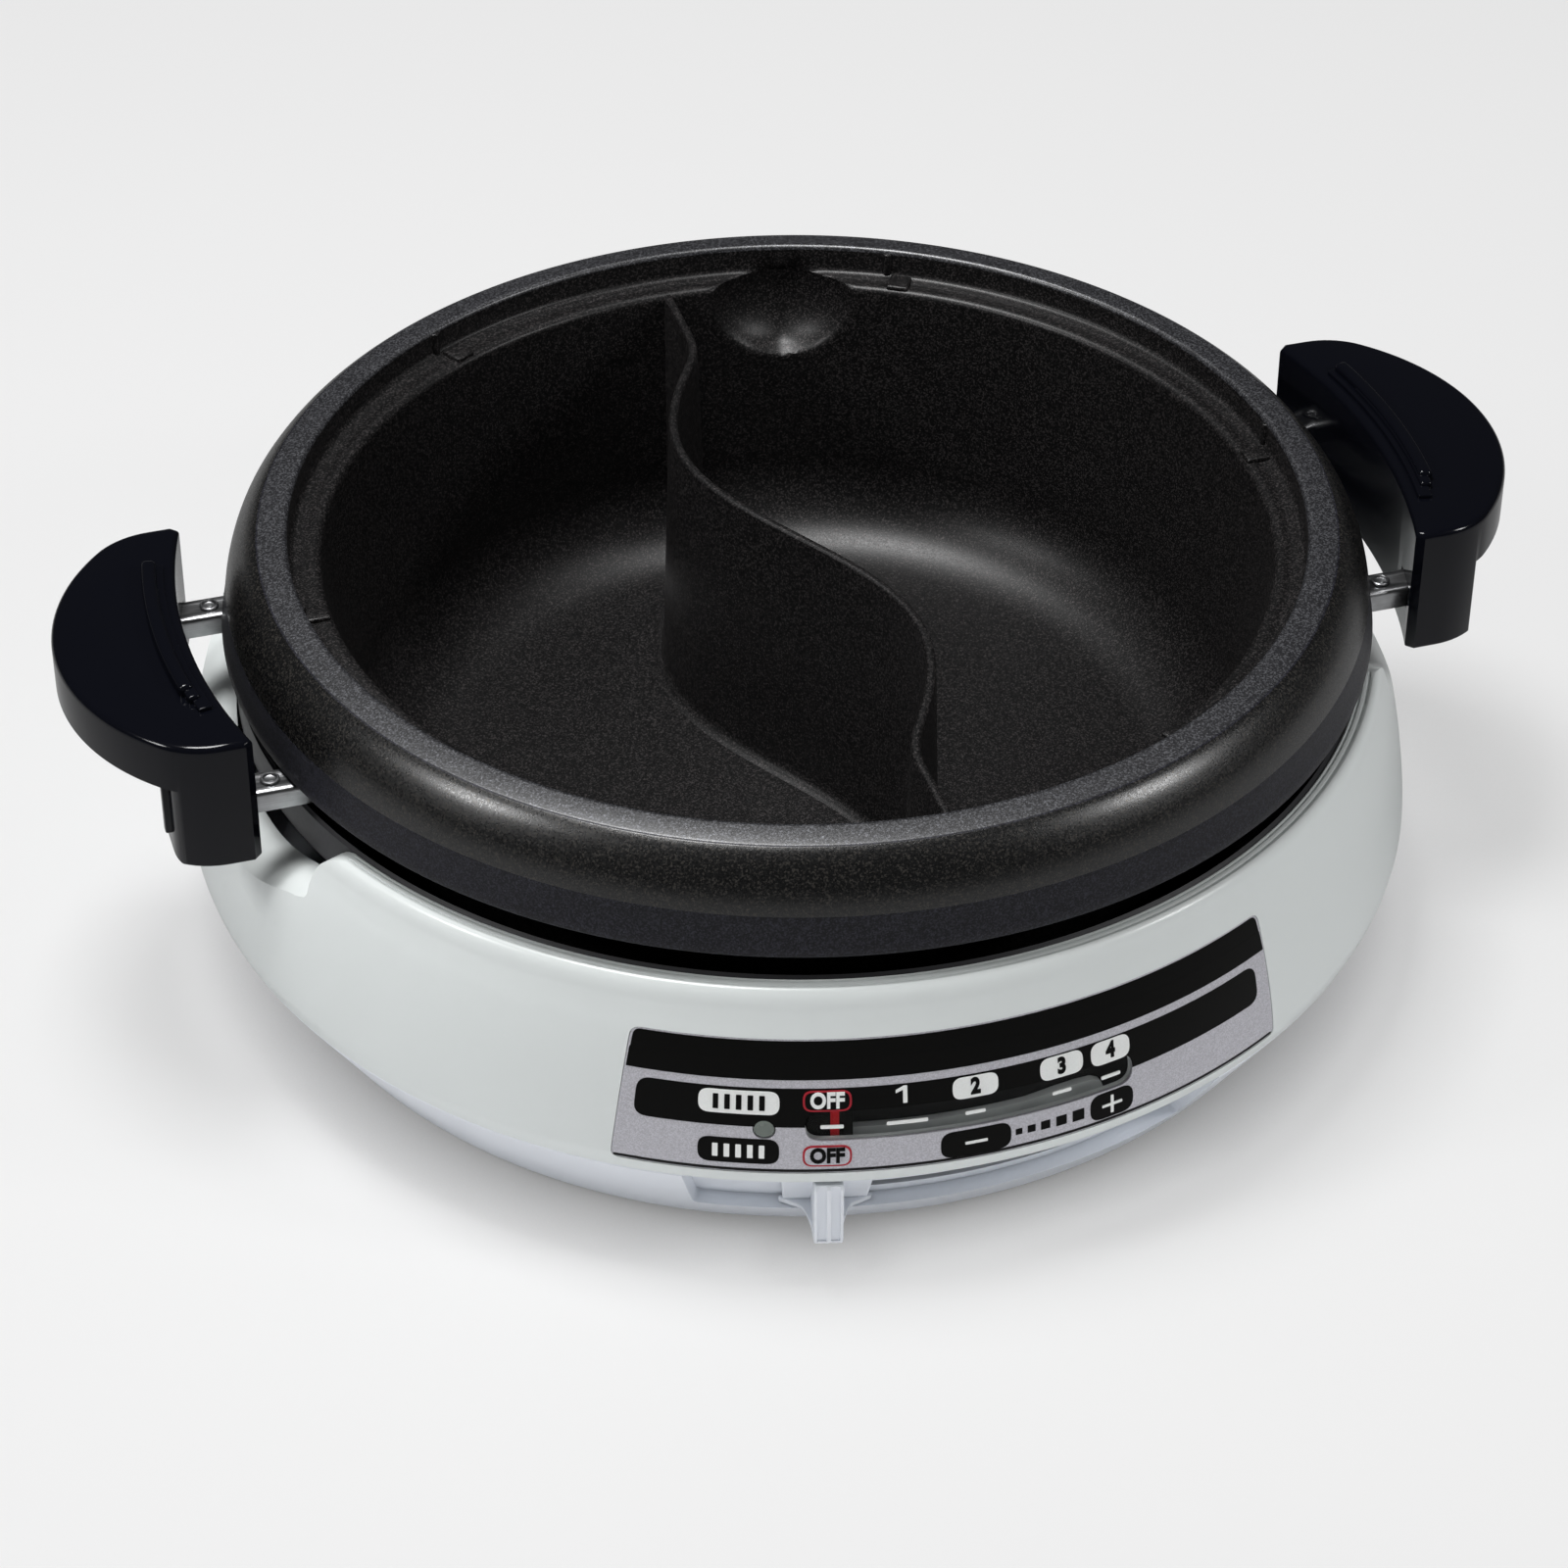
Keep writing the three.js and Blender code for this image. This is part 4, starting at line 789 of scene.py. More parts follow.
PANEL_WHITE = Print("panel_white_ink", (244, 246, 244), 0.01, 0.36, 0.0, 0.3)
PANEL_RED = Print("panel_red_ink", (176, 24, 42), 0.04, 0.34, 0.0, 0.3)
LENS = Clear("window_clear")
LAMP_LENS = Clear("lamp_frosted", (118, 126, 120), 0.25, 0.92, 0.4)
STRIPE = Print("pointer_red", (226, 40, 48), 0.03, 0.34, 0.0, 0.1)


# Pan


@dataclass
class Pan:
    """Cast pan with its flared skirt, divider, pouring scoops and locators."""

    bottom: float = 37.0
    floor: float = 41.0
    ledge: float = 131.7
    rim: float = 141.0
    skirt_bottom: float = 109.6
    flat_radius: float = 110.8
    corner: float = 28.0
    wall: float = 4.0
    mouth: float = 145.8
    step: float = 155.7
    rim_radius: float = 165.0
    rim_fall: float = 1.0
    flare_radius: float = 175.5
    flare_drop: float = 18.0
    skirt_radius: float = 177.5
    skirt_wall: float = 2.8
    swing: float = 21.0
    wave_half: float = 112.0
    scoop_azimuths: tuple[float, float] = (75.0, 255.0)
    scoop_centre: float = 143.5
    scoop_reach: float = 14.3
    scoop_half: float = 25.0
    scoop_drop: float = 25.0
    scoop_wall: float = 2.6
    scoop_power: float = 1.35
    locators: int = 6
    locator_half: tuple[float, float] = (3.9, 3.6)
    lug_span: tuple[float, float] = (131.0, 159.8)
    lug_offset: float = 46.0
    lug_half: float = 3.7
    lug_heights: tuple[float, float] = (97.2, 107.2)

    def inside_line(self) -> list[Point]:
        """Section of the inside, from the middle of the floor to the flare's top edge."""
        ledge, rim, mouth, step = self.ledge, self.rim, self.mouth, self.step
        foot = self.flat_radius + self.corner
        corner = arc((self.flat_radius, self.floor + self.corner), self.corner, -90, 0, 14)
        top = ledge - 2.4
        start = self.floor + self.corner
        below = ledge - 31.0
        levels = [start + (below - start) * i / 5 for i in range(1, 6)]
        levels += [below + (top - below) * i / 28 for i in range(1, 29)]
        wall = [(foot + (mouth - foot) * (z - start) / (top - start), z) for z in levels]
        lip = [(mouth + 0.1, ledge - 1.6), (mouth + 0.45, ledge - 0.9), (mouth + 1.1, ledge - 0.33),
               (mouth + 1.9, ledge - 0.06), (mouth + 2.6, ledge)]
        groove = [
            (mouth + 3.6, ledge), (mouth + 4.5, ledge - 0.25), (mouth + 5.4, ledge - 0.35),
            (mouth + 6.3, ledge - 0.25), (mouth + 7.2, ledge),
            (step - 1.9, ledge), (step - 1.0, ledge + 0.22),
            (step - 0.3, ledge + 0.85), (step, ledge + 1.9),
        ]
        edge = [
            (step, rim - 1.4), (step + 0.2, rim - 0.75), (step + 0.7, rim - 0.2), (step + 1.4, rim),
            (step + 1.9, rim - 0.03), (self.rim_radius - 0.9, rim - self.rim_fall),
            (self.rim_radius - 0.3, rim - self.rim_fall - 0.16),
        ]
        floor = [(0, self.floor), *[(self.flat_radius * i / 6, self.floor) for i in range(1, 6)]]
        return [*floor, *corner, *wall, *lip, *groove, *edge]

    def outside_line(self) -> list[Point]:
        """Section of the flare, the skirt and the outside, down to the middle of the underside."""
        skirt, low = self.skirt_radius, self.skirt_bottom
        fall = self.flare_drop
        reach = self.flare_radius - self.rim_radius
        shares = (
            (0.02, 0.075), (0.16, 0.13), (0.36, 0.24), (0.56, 0.39),
            (0.74, 0.56), (0.88, 0.76), (0.97, 0.95),
        )
        flare = flowing(
            [
                *[(self.rim_radius + out * reach, self.rim - down * fall) for out, down in shares],
                (self.flare_radius + 0.15, self.rim - fall - 1.5), (skirt - 1.2, self.rim - fall - 6),
                (skirt - 0.5, low + 3.5),
            ],
            4,
        )
        inner = skirt - self.skirt_wall
        hem = [(skirt, low + 0.9), (skirt - 0.3, low + 0.25), (skirt - 0.9, low), (inner + 0.8, low)]
        lining = flowing(
            [
                (inner, low + 0.8), (inner - 1.5, self.rim - 19), (inner - 4.6, self.rim - 11.5),
                (self.step + self.wall + 2, self.rim - 4.6), (self.step + self.wall, self.rim - 6.5),
            ],
            3,
        )
        outer_top = self.mouth + self.wall
        foot = self.flat_radius + self.corner + self.wall
        start = self.floor + self.corner
        under = self.ledge - self.wall
        rows = 16
        wall = [
            (outer_top + (foot - outer_top) * i / rows, under + (start - under) * i / rows)
            for i in range(rows)
        ]
        corner = arc((self.flat_radius, start), self.corner + self.wall, 0, -90, 12)
        return [
            *flare, *hem, *lining, (self.step + self.wall, under), (outer_top + 2, under), *wall,
            *corner, (0, self.bottom),
        ]

    def scoop_radius(self, along: float, drop: float, grow: float) -> float:
        """How far out the scoop reaches at a distance sideways and below the ledge.

        Args:
            along: Distance sideways from the scoop's middle.
            drop: Distance below the ledge.
            grow: Metal round the hollow.

        Returns:
            A radius, or zero outside the scoop.
        """
        side = abs(along) / (self.scoop_half + grow)
        down = max(drop, 0) / (self.scoop_drop + grow)
        rest = 1 - side**self.scoop_power
        if rest <= 0 or down >= 1:
            return 0
        level = math.sqrt(1 - down**2)
        flat = level**self.scoop_power - side**self.scoop_power
        if flat <= 0:
            return 0
        return self.scoop_centre + (self.scoop_reach + grow) * flat ** (1 / self.scoop_power)

    def scooped(self, spot: Vector) -> Vector:
        """Pushes the wall and the ledge out to the scoops."""
        radius = math.hypot(spot.x, spot.y)
        drop = self.ledge - spot.z
        if not self.mouth - 12 < radius < self.step + 3 or not -1.5 < drop < self.scoop_drop + 6:
            return spot
        azimuth = math.degrees(math.atan2(spot.y, spot.x))
        outer_line = self.mouth + self.wall - (self.ledge - self.wall - spot.z) * 0.12
        grow = self.scoop_wall if drop > self.wall - 0.1 and radius > outer_line - 1.2 else 0.0
        for middle in self.scoop_azimuths:
            off = (azimuth - middle + 180) % 360 - 180
            if abs(off) > 14:
                continue
            reach = self.scoop_radius(math.radians(off) * self.mouth, drop, grow)
            if not reach:
                continue
            softness = 0.9 + 1.6 * min(max(drop - 6, 0) / 12, 1)
            gap = reach - radius
            share = 0.5 + 0.5 * math.tanh(gap / softness)
            pushed = radius + share * gap if gap > -2 * softness else radius
            return Vector((spot.x * pushed / radius, spot.y * pushed / radius, spot.z))
        return spot

    def divider_line(self, y: float) -> float:
        """X of the divider's middle line at a Y."""
        near = [y + step for step in (-7.5, -5, -2.5, 0, 2.5, 5, 7.5)]
        waves = [
            math.copysign(1, place) * math.sin(math.pi * min(abs(place) / self.wave_half, 1.0))
            for place in near
        ]
        return -self.swing * 1.03 * sum(waves) / len(waves)

    def divider(self) -> Piece:
        """The S-shaped wall, swept along its line and trimmed inside the pan's wall."""
        reach, steps = self.mouth + 2, 120
        spots = [-reach + 2 * reach * i / steps for i in range(steps + 1)]
        path = [(self.divider_line(y), y, 0.0) for y in spots]
        top = self.ledge - 0.4
        half = [
            (8.0, self.floor - 2), (7.6, self.floor), (6.2, self.floor + 0.35), (5.1, self.floor + 1.2),
            (4.4, self.floor + 2.5), (4.15, self.floor + 4), (1.45, top - 1.0), (1.25, top - 0.45),
            (0.8, top - 0.1), (0.3, top),
        ]
        section = [*half, *[(-x, z) for x, z in reversed(half)]]
        piece = Piece.swept("pan_divider", path, 0, section)
        grown = 1.6
        foot = self.flat_radius + self.corner
        limit = [
            (0, self.floor - 2.6), (self.flat_radius, self.floor - grown),
            *arc((self.flat_radius, self.floor + self.corner), self.corner + grown, -90, 0, 12),
            (foot + grown, self.floor + self.corner), (self.mouth + grown, self.ledge), (0, self.ledge),
        ]
        return piece.kept_in(Piece.turned("limit", limit, 180)).cleaned()

    def locator(self) -> Piece:
        """One locator block on the ledge, with the bump beside it in the rim's edge."""
        middle = (self.mouth + self.step) / 2
        deep, wide = self.locator_half
        low = (middle - deep, -wide, self.ledge - 1.5)
        high = (middle + deep, wide, self.ledge + 1.15)
        block = Piece.box("pan_locators", low, high)
        block.bevelled(0.7, 4)
        bump = Piece.rod("bump", 1.7, self.ledge + 0.2, self.rim - 1.2, (self.step + 0.5, 5.2))
        return block.with_loose(bump.bevelled(0.5, 3))

    def build(self) -> None:
        """Makes the pan's pieces."""
        casting = Piece.turned("pan_casting", [*self.inside_line(), *self.outside_line()], FINE_STEPS)
        casting.mapped(self.scooped)
        casting.finished(PAN_INSIDE_SHADED, Body.PAN, "pan_coating", ["divided_pan"], 40)
        self.dress(casting.thing)
        self.divider().finished(PAN_INSIDE_SHADED, Body.PAN, "pan_coating", angle=40)
        first = self.locator()
        others = [
            first.copied("locator").turned_by(360 / self.locators * i) for i in range(1, self.locators)
        ]
        first.with_loose(*others).finished(PAN_INSIDE_SHADED, Body.PAN, "pan_coating")
        lugs = []
        for x in (-1, 1):
            for y in (-1, 1):
                start, end = sorted(x * reach for reach in self.lug_span)
                near, far = y * self.lug_offset - self.lug_half, y * self.lug_offset + self.lug_half
                under, over = self.lug_heights
                lug = Piece.box("pan_lugs", (start, near, under), (end, far, over))
                lugs.append(lug.bevelled(1.0, 3))
        inside = Piece.turned("room", [
            (0, 80), (self.flat_radius + self.corner + 2.3, 80),
            (self.mouth + 1.5, self.ledge), (0, self.ledge),
        ], 180)
        lugs[0].with_loose(*lugs[1:]).cut(inside).finished(PAN_SKIRT, Body.PAN, "pan_coating")

    def dress(self, thing: bpy.types.Object) -> None:
        """Gives the rim, the flare and the skirt their own finishes by place; the rim's lighter coating is
        painted light on the upward ring.
        """
        for finish in (PAN_RIM_PAINTED_LIGHT, PAN_FLARE, PAN_SKIRT):
            thing.data.materials.append(finish.material())
        rim, step = self.rim * MILLIMETRE, self.step * MILLIMETRE
        for face in thing.data.polygons:
            spot = face.center
            radius = math.hypot(spot.x, spot.y)
            # The upward rim takes the lighter coating, painted light.
            if spot.z > rim - 0.00125 and radius > step:
                face.material_index = 1
            elif spot.z > rim - 0.0185 and radius > self.rim_radius * MILLIMETRE:
                face.material_index = 2
            elif radius > step + 0.003:
                face.material_index = 3


# Handles


@dataclass
class Handles:
    """Black crescent hoods on stainless arms."""

    radius: float = 190.0
    width: float = 39.6
    end_width: float = 19.0
    corner: float = 9.0
    half: float = 58.0
    top: float = 132.8
    plate: float = 4.0
    wall: float = 3.5
    edge: float = 2.2
    skirt_edge: float = 116.8
    leg_bottom: float = 89.5
    inner_bottom: float = 93.0
    leg_side: float = 36.0
    leg_end: float = 206.0
    leg_corner: float = 7.0
    fin: float = 45.0
    spread: float = 46.0
    arm_top: float = 109.0
    arm_from: float = 150.1
    arm_to: float = 189.45
    arm_half: float = 5.5
    flange: float = 7.0
    sheet: float = 1.5
    pan_rivet: float = 154.8
    frame_rivet: float = 175.9
    screw: float = 195.98
    post: float = 4.0
    rib_from: float = 195.6
    rib_width: float = 4.5
    rib_half_angle: float = 10.8

    def bow(self) -> tuple[float, float]:
        """Middle and radius of the outer arc of the hood."""
        outermost = self.radius + self.width
        end_from = math.sqrt(self.radius**2 - self.half**2)
        rise = outermost - end_from - self.end_width
        radius = (self.half**2 + rise**2) / rise / 2
        return outermost - radius, radius

    def crescent(self, inset: float) -> list[Point]:
        """Outline of the hood, drawn in by an even inset."""
        middle, outer_arc = self.bow()
        inner, outer, half = self.radius + inset, outer_arc - inset, self.half - inset
        inner_angle = math.degrees(math.asin((half - self.edge) / inner))
        outer_angle = math.degrees(math.asin(half / outer))
        soft = math.degrees(self.corner / outer)
        bow = arc((middle, 0), outer, soft - outer_angle, outer_angle - soft, 44)
        tip = middle + outer * math.cos(math.radians(outer_angle))
        front = bend((tip - self.corner, -half), (tip, -half), bow[0], 8)
        hollow = arc((0, 0), inner, inner_angle, -inner_angle, 30)
        rear = [(x, -y) for x, y in reversed(front[:-1])]
        return [
            (hollow[-1][0] + self.edge, -half), *front[:-1], *bow, *rear,
            (hollow[0][0] + self.edge, half), *hollow,
        ]

    def leg_trim(self) -> Piece:
        """What is cut away outside the legs, up to the hood's edge."""
        middle, outer = self.bow()
        far, wide = self.radius + self.width + 5, self.half + 5
        crossing = math.sqrt(outer**2 - (self.leg_end - middle) ** 2)
        start = crossing + 3.5
        reach = middle + math.sqrt(outer**2 - start**2)
        last = (self.leg_end, -crossing + self.leg_corner)
        turn = bend((reach, -start), (self.leg_end, -crossing), last, 8)
        outline = [(reach + 2.0, -wide), *turn, *[(x, -y) for x, y in reversed(turn)], (reach + 2.0, wide),
                   (far, wide), (far, -wide)]
        return Piece.prism("c", outline, self.leg_bottom - 5, self.skirt_edge)

    def hood(self) -> Piece:
        """The right handle."""
        solid = Piece.prism("right_handle", self.crescent(0), self.leg_bottom, self.top)
        top, low = self.top, self.leg_bottom

        def is_rim(edge: Any) -> bool:
            heights = [v.co.z for v in edge.verts]
            return min(heights) > top - 0.01

        solid.edge_bevelled(is_rim, self.edge, 6)
        solid.edge_bevelled(lambda e: max(v.co.z for v in e.verts) < low + 0.01, 1.2, 4)
        far = self.radius + self.width + 5
        solid.cut(self.leg_trim())
        face = self.radius + self.wall
        side = math.degrees(math.asin(self.leg_side / face))
        fingers = [(far, -self.leg_side), (far, self.leg_side), *arc((0, 0), face, side, -side, 24)]
        solid.cut(Piece.prism("c", fingers, low - 5, self.skirt_edge))
        corner = (self.radius - 20, -self.leg_side, low - 5)
        solid.cut(Piece.box("c", corner, (far, self.leg_side, self.inner_bottom)))
        under = self.top - self.plate
        hood_room = Piece.prism("c", self.crescent(self.wall), self.skirt_edge - 3, under)
        legs = []
        for end in (-1, 1):
            a, b = sorted((end * self.leg_side, end * (self.half + 2)))
            legs.append(Piece.box("leg", (150, a, 60), (self.leg_end, b, under + 3)))
            c, d = sorted((end * (self.leg_side + self.wall), end * self.half))
            room = Piece.prism("c", self.crescent(self.wall), low - 5, under)
            cell = Piece.box("b", (150, c, low - 6), (self.leg_end - self.wall, d, under + 1))
            solid.cut(room.kept_in(cell))
        hood_room.cut(*legs)
        solid.cut(hood_room)
        for end in (-1, 1):
            y = end * self.spread
            gap = self.arm_half + 0.3
            solid.cut(Piece.box(
                "c", (self.radius - 20, y - gap, self.arm_top - self.flange - 0.3),
                (self.radius + 2, y + gap, self.arm_top + 0.3)))
            post = Piece.rod("post", self.post, self.arm_top - 1.4, under + 1, (self.screw, y))
            solid.united(post.cut(Piece.rod("c", 1.6, self.arm_top - 5, under - 5, (self.screw, y))))
            side = end * self.fin
            fin = Piece.box("fin", (self.leg_end - 1, side - 1.6, low + 7),
                            (self.leg_end + 1.9, side + 1.6, self.skirt_edge + 1)).bevelled(0.5, 2)
            solid.united(fin)
        return solid.united(*self.ribs())

    def ribs(self) -> list[Piece]:
        """The raised rib on top, with its step and the stepped nub at its front end."""
        pieces = []
        full, start = self.rib_half_angle, self.rib_from
        levels = (
            (start, start + self.rib_width, -8.9, full, 3.6, 1.5),
            (start - 2.2, start + 2.2, -11.6, full, 1.3, 0.5),
            (start - 0.4, start + self.rib_width - 1.2, -10.1, full - 4, 2.4, 0.9),
        )
        for inner, outer, first, last, high, soft in levels:
            outline = [*arc((0, 0), outer, first, last, 30), *arc((0, 0), inner, last, first, 30)]
            rib = Piece.prism("rib", outline, self.top - 2.0, self.top + high)
            pieces.append(rib.bevelled(soft, 4, 50))
        return pieces

    def arm(self) -> Piece:
        """One stainless channel arm of the right handle, at the middle."""
        half, sheet, fall = self.arm_half, self.sheet, self.flange
        outer = rounded_outline([(-half, -fall), (-half, 0), (half, 0), (half, -fall)], 2.0)
        outer = [(-half, -fall), *outer[7:21], (half, -fall)]
        inner = [(half - sheet, -fall), (half - sheet, -sheet - 0.4), (half - sheet - 0.4, -sheet),
                 (-half + sheet + 0.4, -sheet), (-half + sheet, -sheet - 0.4), (-half + sheet, -fall)]
        line = [*outer, *inner]
        piece = Piece.drawn("arm", [(self.arm_from, x, self.arm_top + z) for x, z in line])
        with editing(piece.thing):
            bpy.ops.mesh.edge_face_add()
            bpy.ops.mesh.extrude_region_move(
                TRANSFORM_OT_translate={"value": (self.arm_to - self.arm_from, 0, 0)})
        piece.cleaned()
        for at in (self.pan_rivet, self.frame_rivet):
            piece.cut(Piece.rod("c", 2.0, self.arm_top - 3, self.arm_top + 3, (at, 0)))
        return piece.bevelled(0.2, 2, 60)

    def rivet(self, radius: float, tail: float) -> Piece:
        """A rivet with a ringed head, its shank at the middle."""
        top = self.arm_top
        return Piece.turned("rivet", [
            (0, top - tail), (1.7, top - tail), (1.7, top + 0.3), (radius, top + 0.3),
            (radius + 0.1, top + 0.5), (radius - 0.05, top + 0.85), (radius - 0.35, top + 1.05),
            (radius - 0.65, top + 1.05), (radius - 0.9, top + 0.85), (radius - 1.15, top + 0.45),
            (radius - 1.4, top + 0.35), (0, top + 0.3),
        ], SMALL_STEPS)

    def build(self) -> None:
        """Makes both handles with their arms and rivets."""
        hood = self.hood()
        left = hood.copied("left_handle").mirrored(0)
        hood.finished(HANDLE_PAINTED_BLUE_SHEEN, Body.PAN, "handle_black", ["handle_right"])
        left.finished(HANDLE_PAINTED_BLUE_SHEEN, Body.PAN, "handle_black", ["handle_left"])
        arm = self.arm()
        pan_rivet = self.rivet(2.7, 8.0)
        frame_rivet = self.rivet(2.9, 4.0)
        parts = (
            (arm, "arm", 0.0, "bracket_arm"),
            (pan_rivet, "inner_rivet", self.pan_rivet, "pan_rivet"),
            (frame_rivet, "outer_rivet", self.frame_rivet, "frame_rivet"),
        )
        for side, turn in (("right", 0), ("left", 180)):
            for end, y in (("front", -self.spread), ("rear", self.spread)):
                place = f"{side}_{end}"
                at = y if turn == 0 else -y
                for source, label, x, node in parts:
                    made = source.copied(f"{label}_{place}").moved(x, at).turned_by(turn)
                    made.finished(STEEL, Body.PAN, "stainless", [f"{node}_{place}"])
        for source in (arm, pan_rivet, frame_rivet):
            bpy.data.objects.remove(source.thing)


# Casing

SHELL_SHARES: tuple[Point, ...] = (
    (0, 0), (0.033, 0.108), (0.167, 0.325), (0.35, 0.54), (0.575, 0.74), (0.717, 0.84), (0.8, 0.9),
)


@dataclass
class Casing:
    """White upper casing, lower casing and the guard ring between casing and pan."""

    lip: float = 174.7
    bead: float = 178.6
    shoulder: float = 180.2
    belly: float = 192.2
    parting: float = 37.0
    bottom: float = 37.3
    belly_height: float = 43.3
    shoulder_height: float = 98.4
    lip_height: float = 100.1
    wall: float = 2.4
    under: float = 3.0
    floor: float = 5.4
    cover_top: float = 190.5
    cover_tuck: float = 22.0
    band_wall: float = 2.9
    notch_half: Point = (22.2, 4.6)
    notch_side: float = 86.8
    notch_low: float = 77.2
    recess: tuple[float, float] = (-117.0, -66.0)
    recess_sill: float = 12.4
    recess_depth: float = 6.0
    slot: tuple[float, float] = (18.2, 22.6)
    slot_span: tuple[float, float] = (-106.4, -76.6)
    degree_width: float = 3.33

    def face_line(self) -> list[Point]:
        """Outer face of the upper casing, from the belly to the shoulder."""
        points = [
            (self.belly - inward * (self.belly - self.shoulder),
             self.belly_height + up * (self.shoulder_height - self.belly_height))
            for inward, up in SHELL_SHARES
        ]
        top = self.lip_height
        rounding = ((182.2, 5.8), (181.75, 3.9), (181.2, 2.3), (180.5, 1.1), (179.7, 0.35), (178.9, 0.0))
        return flowing([*points, *[(r, top - fall) for r, fall in rounding]], 4)

    def radius(self, height: float) -> float:
        """Radius of the outer face at a height."""
        line = [(self.cover_top, self.bottom), *self.face_line()]
        for (r0, z0), (r1, z1) in zip(line, line[1:]):
            if height <= z1:
                return r0 + (r1 - r0) * (height - z0) / (z1 - z0)
        return line[-1][0]

    def band(self, height: float) -> float:
        """Radius of the lower casing's tucked-in band at a height."""
        low = self.cover_top - self.cover_tuck
        return low + self.cover_tuck * (height - self.under) / (self.parting - self.under)

    def wrapped(self, face: Callable[[float], float]) -> Place:
        """Bends a flat form round a face.

        Args:
            face: Radius of the face at a height.

        Returns:
            A function from X along the arc from azimuth -90, Y inwards from the face and Z up, to a place.
        """
        table = {}

        def place(spot: Vector) -> Vector:
            height = round(spot.z, 3)
            if height not in table:
                table[height] = face(height)
            radius = table[height] - spot.y
            return Vector((*polar(radius, spot.x / self.degree_width - 90), spot.z))

        return place

    def flat(self, azimuth: float) -> float:
        """X of an azimuth on the flat form."""
        return (azimuth + 90) * self.degree_width

    def wrap_cut(
        self, corners: Sequence[Point], radius: float, deep: float, face: Callable[[float], float]
    ) -> Piece:
        """A cutter that follows a face.

        Args:
            corners: Azimuth and height of each corner.
            radius: Radius of the corners.
            deep: Depth of the cut.
            face: Radius of the face at a height.

        Returns:
            The cutter.
        """
        outline = rounded_outline([(self.flat(a), z) for a, z in corners], radius)
        piece = Piece.plate("c", outline, -4.0, deep)
        return piece.sliced(0, 5.0).sliced(2, 4.0).mapped(self.wrapped(face)).cleaned()

    def notch(self) -> Piece:
        """The cutter of a handle's notch: round shoulders, and a sill that rounds off outwards."""
        low, wide = self.notch_half
        rise = self.lip_height - self.notch_side
        steps = [math.radians(t) for t in range(0, 91, 9)]
        shoulder = [
            (low - wide * math.sin(t) + wide, self.notch_side + rise * math.cos(t)) for t in steps
        ]
        sill = flowing([
            (low - 0.3, self.notch_side - 0.9), (low - 1.4, self.notch_side - 1.7),
            (19.4, self.notch_low + 7.1), (15.0, self.notch_low + 3.4), (11.0, self.notch_low + 1.2),
            (7.0, self.notch_low + 0.3), (0, self.notch_low),
        ], 3)
        half = [(shoulder[0][0], self.lip_height + 6), *shoulder, *sill]
        degree = math.radians(self.shoulder)
        outline = [(-u * degree, z) for u, z in half] + [(u * degree, z) for u, z in reversed(half[:-1])]

        def bent(spot: Vector) -> Vector:
            radius = self.shoulder - spot.y - 4
            fall = 0.055 * max(radius - 177, 0) ** 2 * min(max((94 - spot.z) / 9, 0), 1)
            return Vector((*polar(radius, spot.x / degree - 90), spot.z - fall))

        return Piece.plate("c", outline, 12.0, -16.0).sliced(0, 5.0).sliced(1, 2.0).mapped(bent).cleaned()

    def upper(self) -> Piece:
        """The white upper casing."""
        lip, bead, top, wall = self.lip, self.bead, self.lip_height, self.wall
        face = self.face_line()
        shoulder = [
            (bead - 0.3, top - 0.1), (bead - 0.8, top - 0.5), (bead - 1.1, top - 0.55),
            (bead - 1.35, top - 0.15), (bead - 1.7, top),
            (lip + 1.7, top), (lip + 1.45, top - 0.15), (lip + 1.3, top - 0.55),
            (lip + 1.0, top - 0.55), (lip + 0.85, top - 0.1), (lip + 0.5, top), (lip, top - 0.4),
        ]
        inside = [(r - wall, min(z, top - wall - 0.4)) for r, z in reversed(face[:28:2])]
        skirt = [
            (self.cover_top, self.bottom), (self.cover_top + 0.7, self.bottom + 1.6),
            (self.cover_top + 1.25, self.bottom + 3.6),
        ]
        body = Piece.turned("upper_casing", [
            *skirt, *face, *shoulder, (lip, top - wall), (lip + 2.6, top - wall - 0.6), *inside[1:],
            (self.cover_top - wall, self.bottom),
        ])
        heights = (73.0, 78.0, 83.0, 88.0, 93.0, 98.5)
        pad = Piece.turned("pad", [
            (lip + 0.5, 73.0), *[(self.radius(z) - 1.2, z) for z in heights], (lip + 0.5, 98.5)])
        pad.kept_in(Piece.box("c", (-220, -81, 60), (220, 81, 120)))
        body.united(pad)
        for turn in (90, -90):
            body.cut(self.notch().turned_by(turn))
        return body

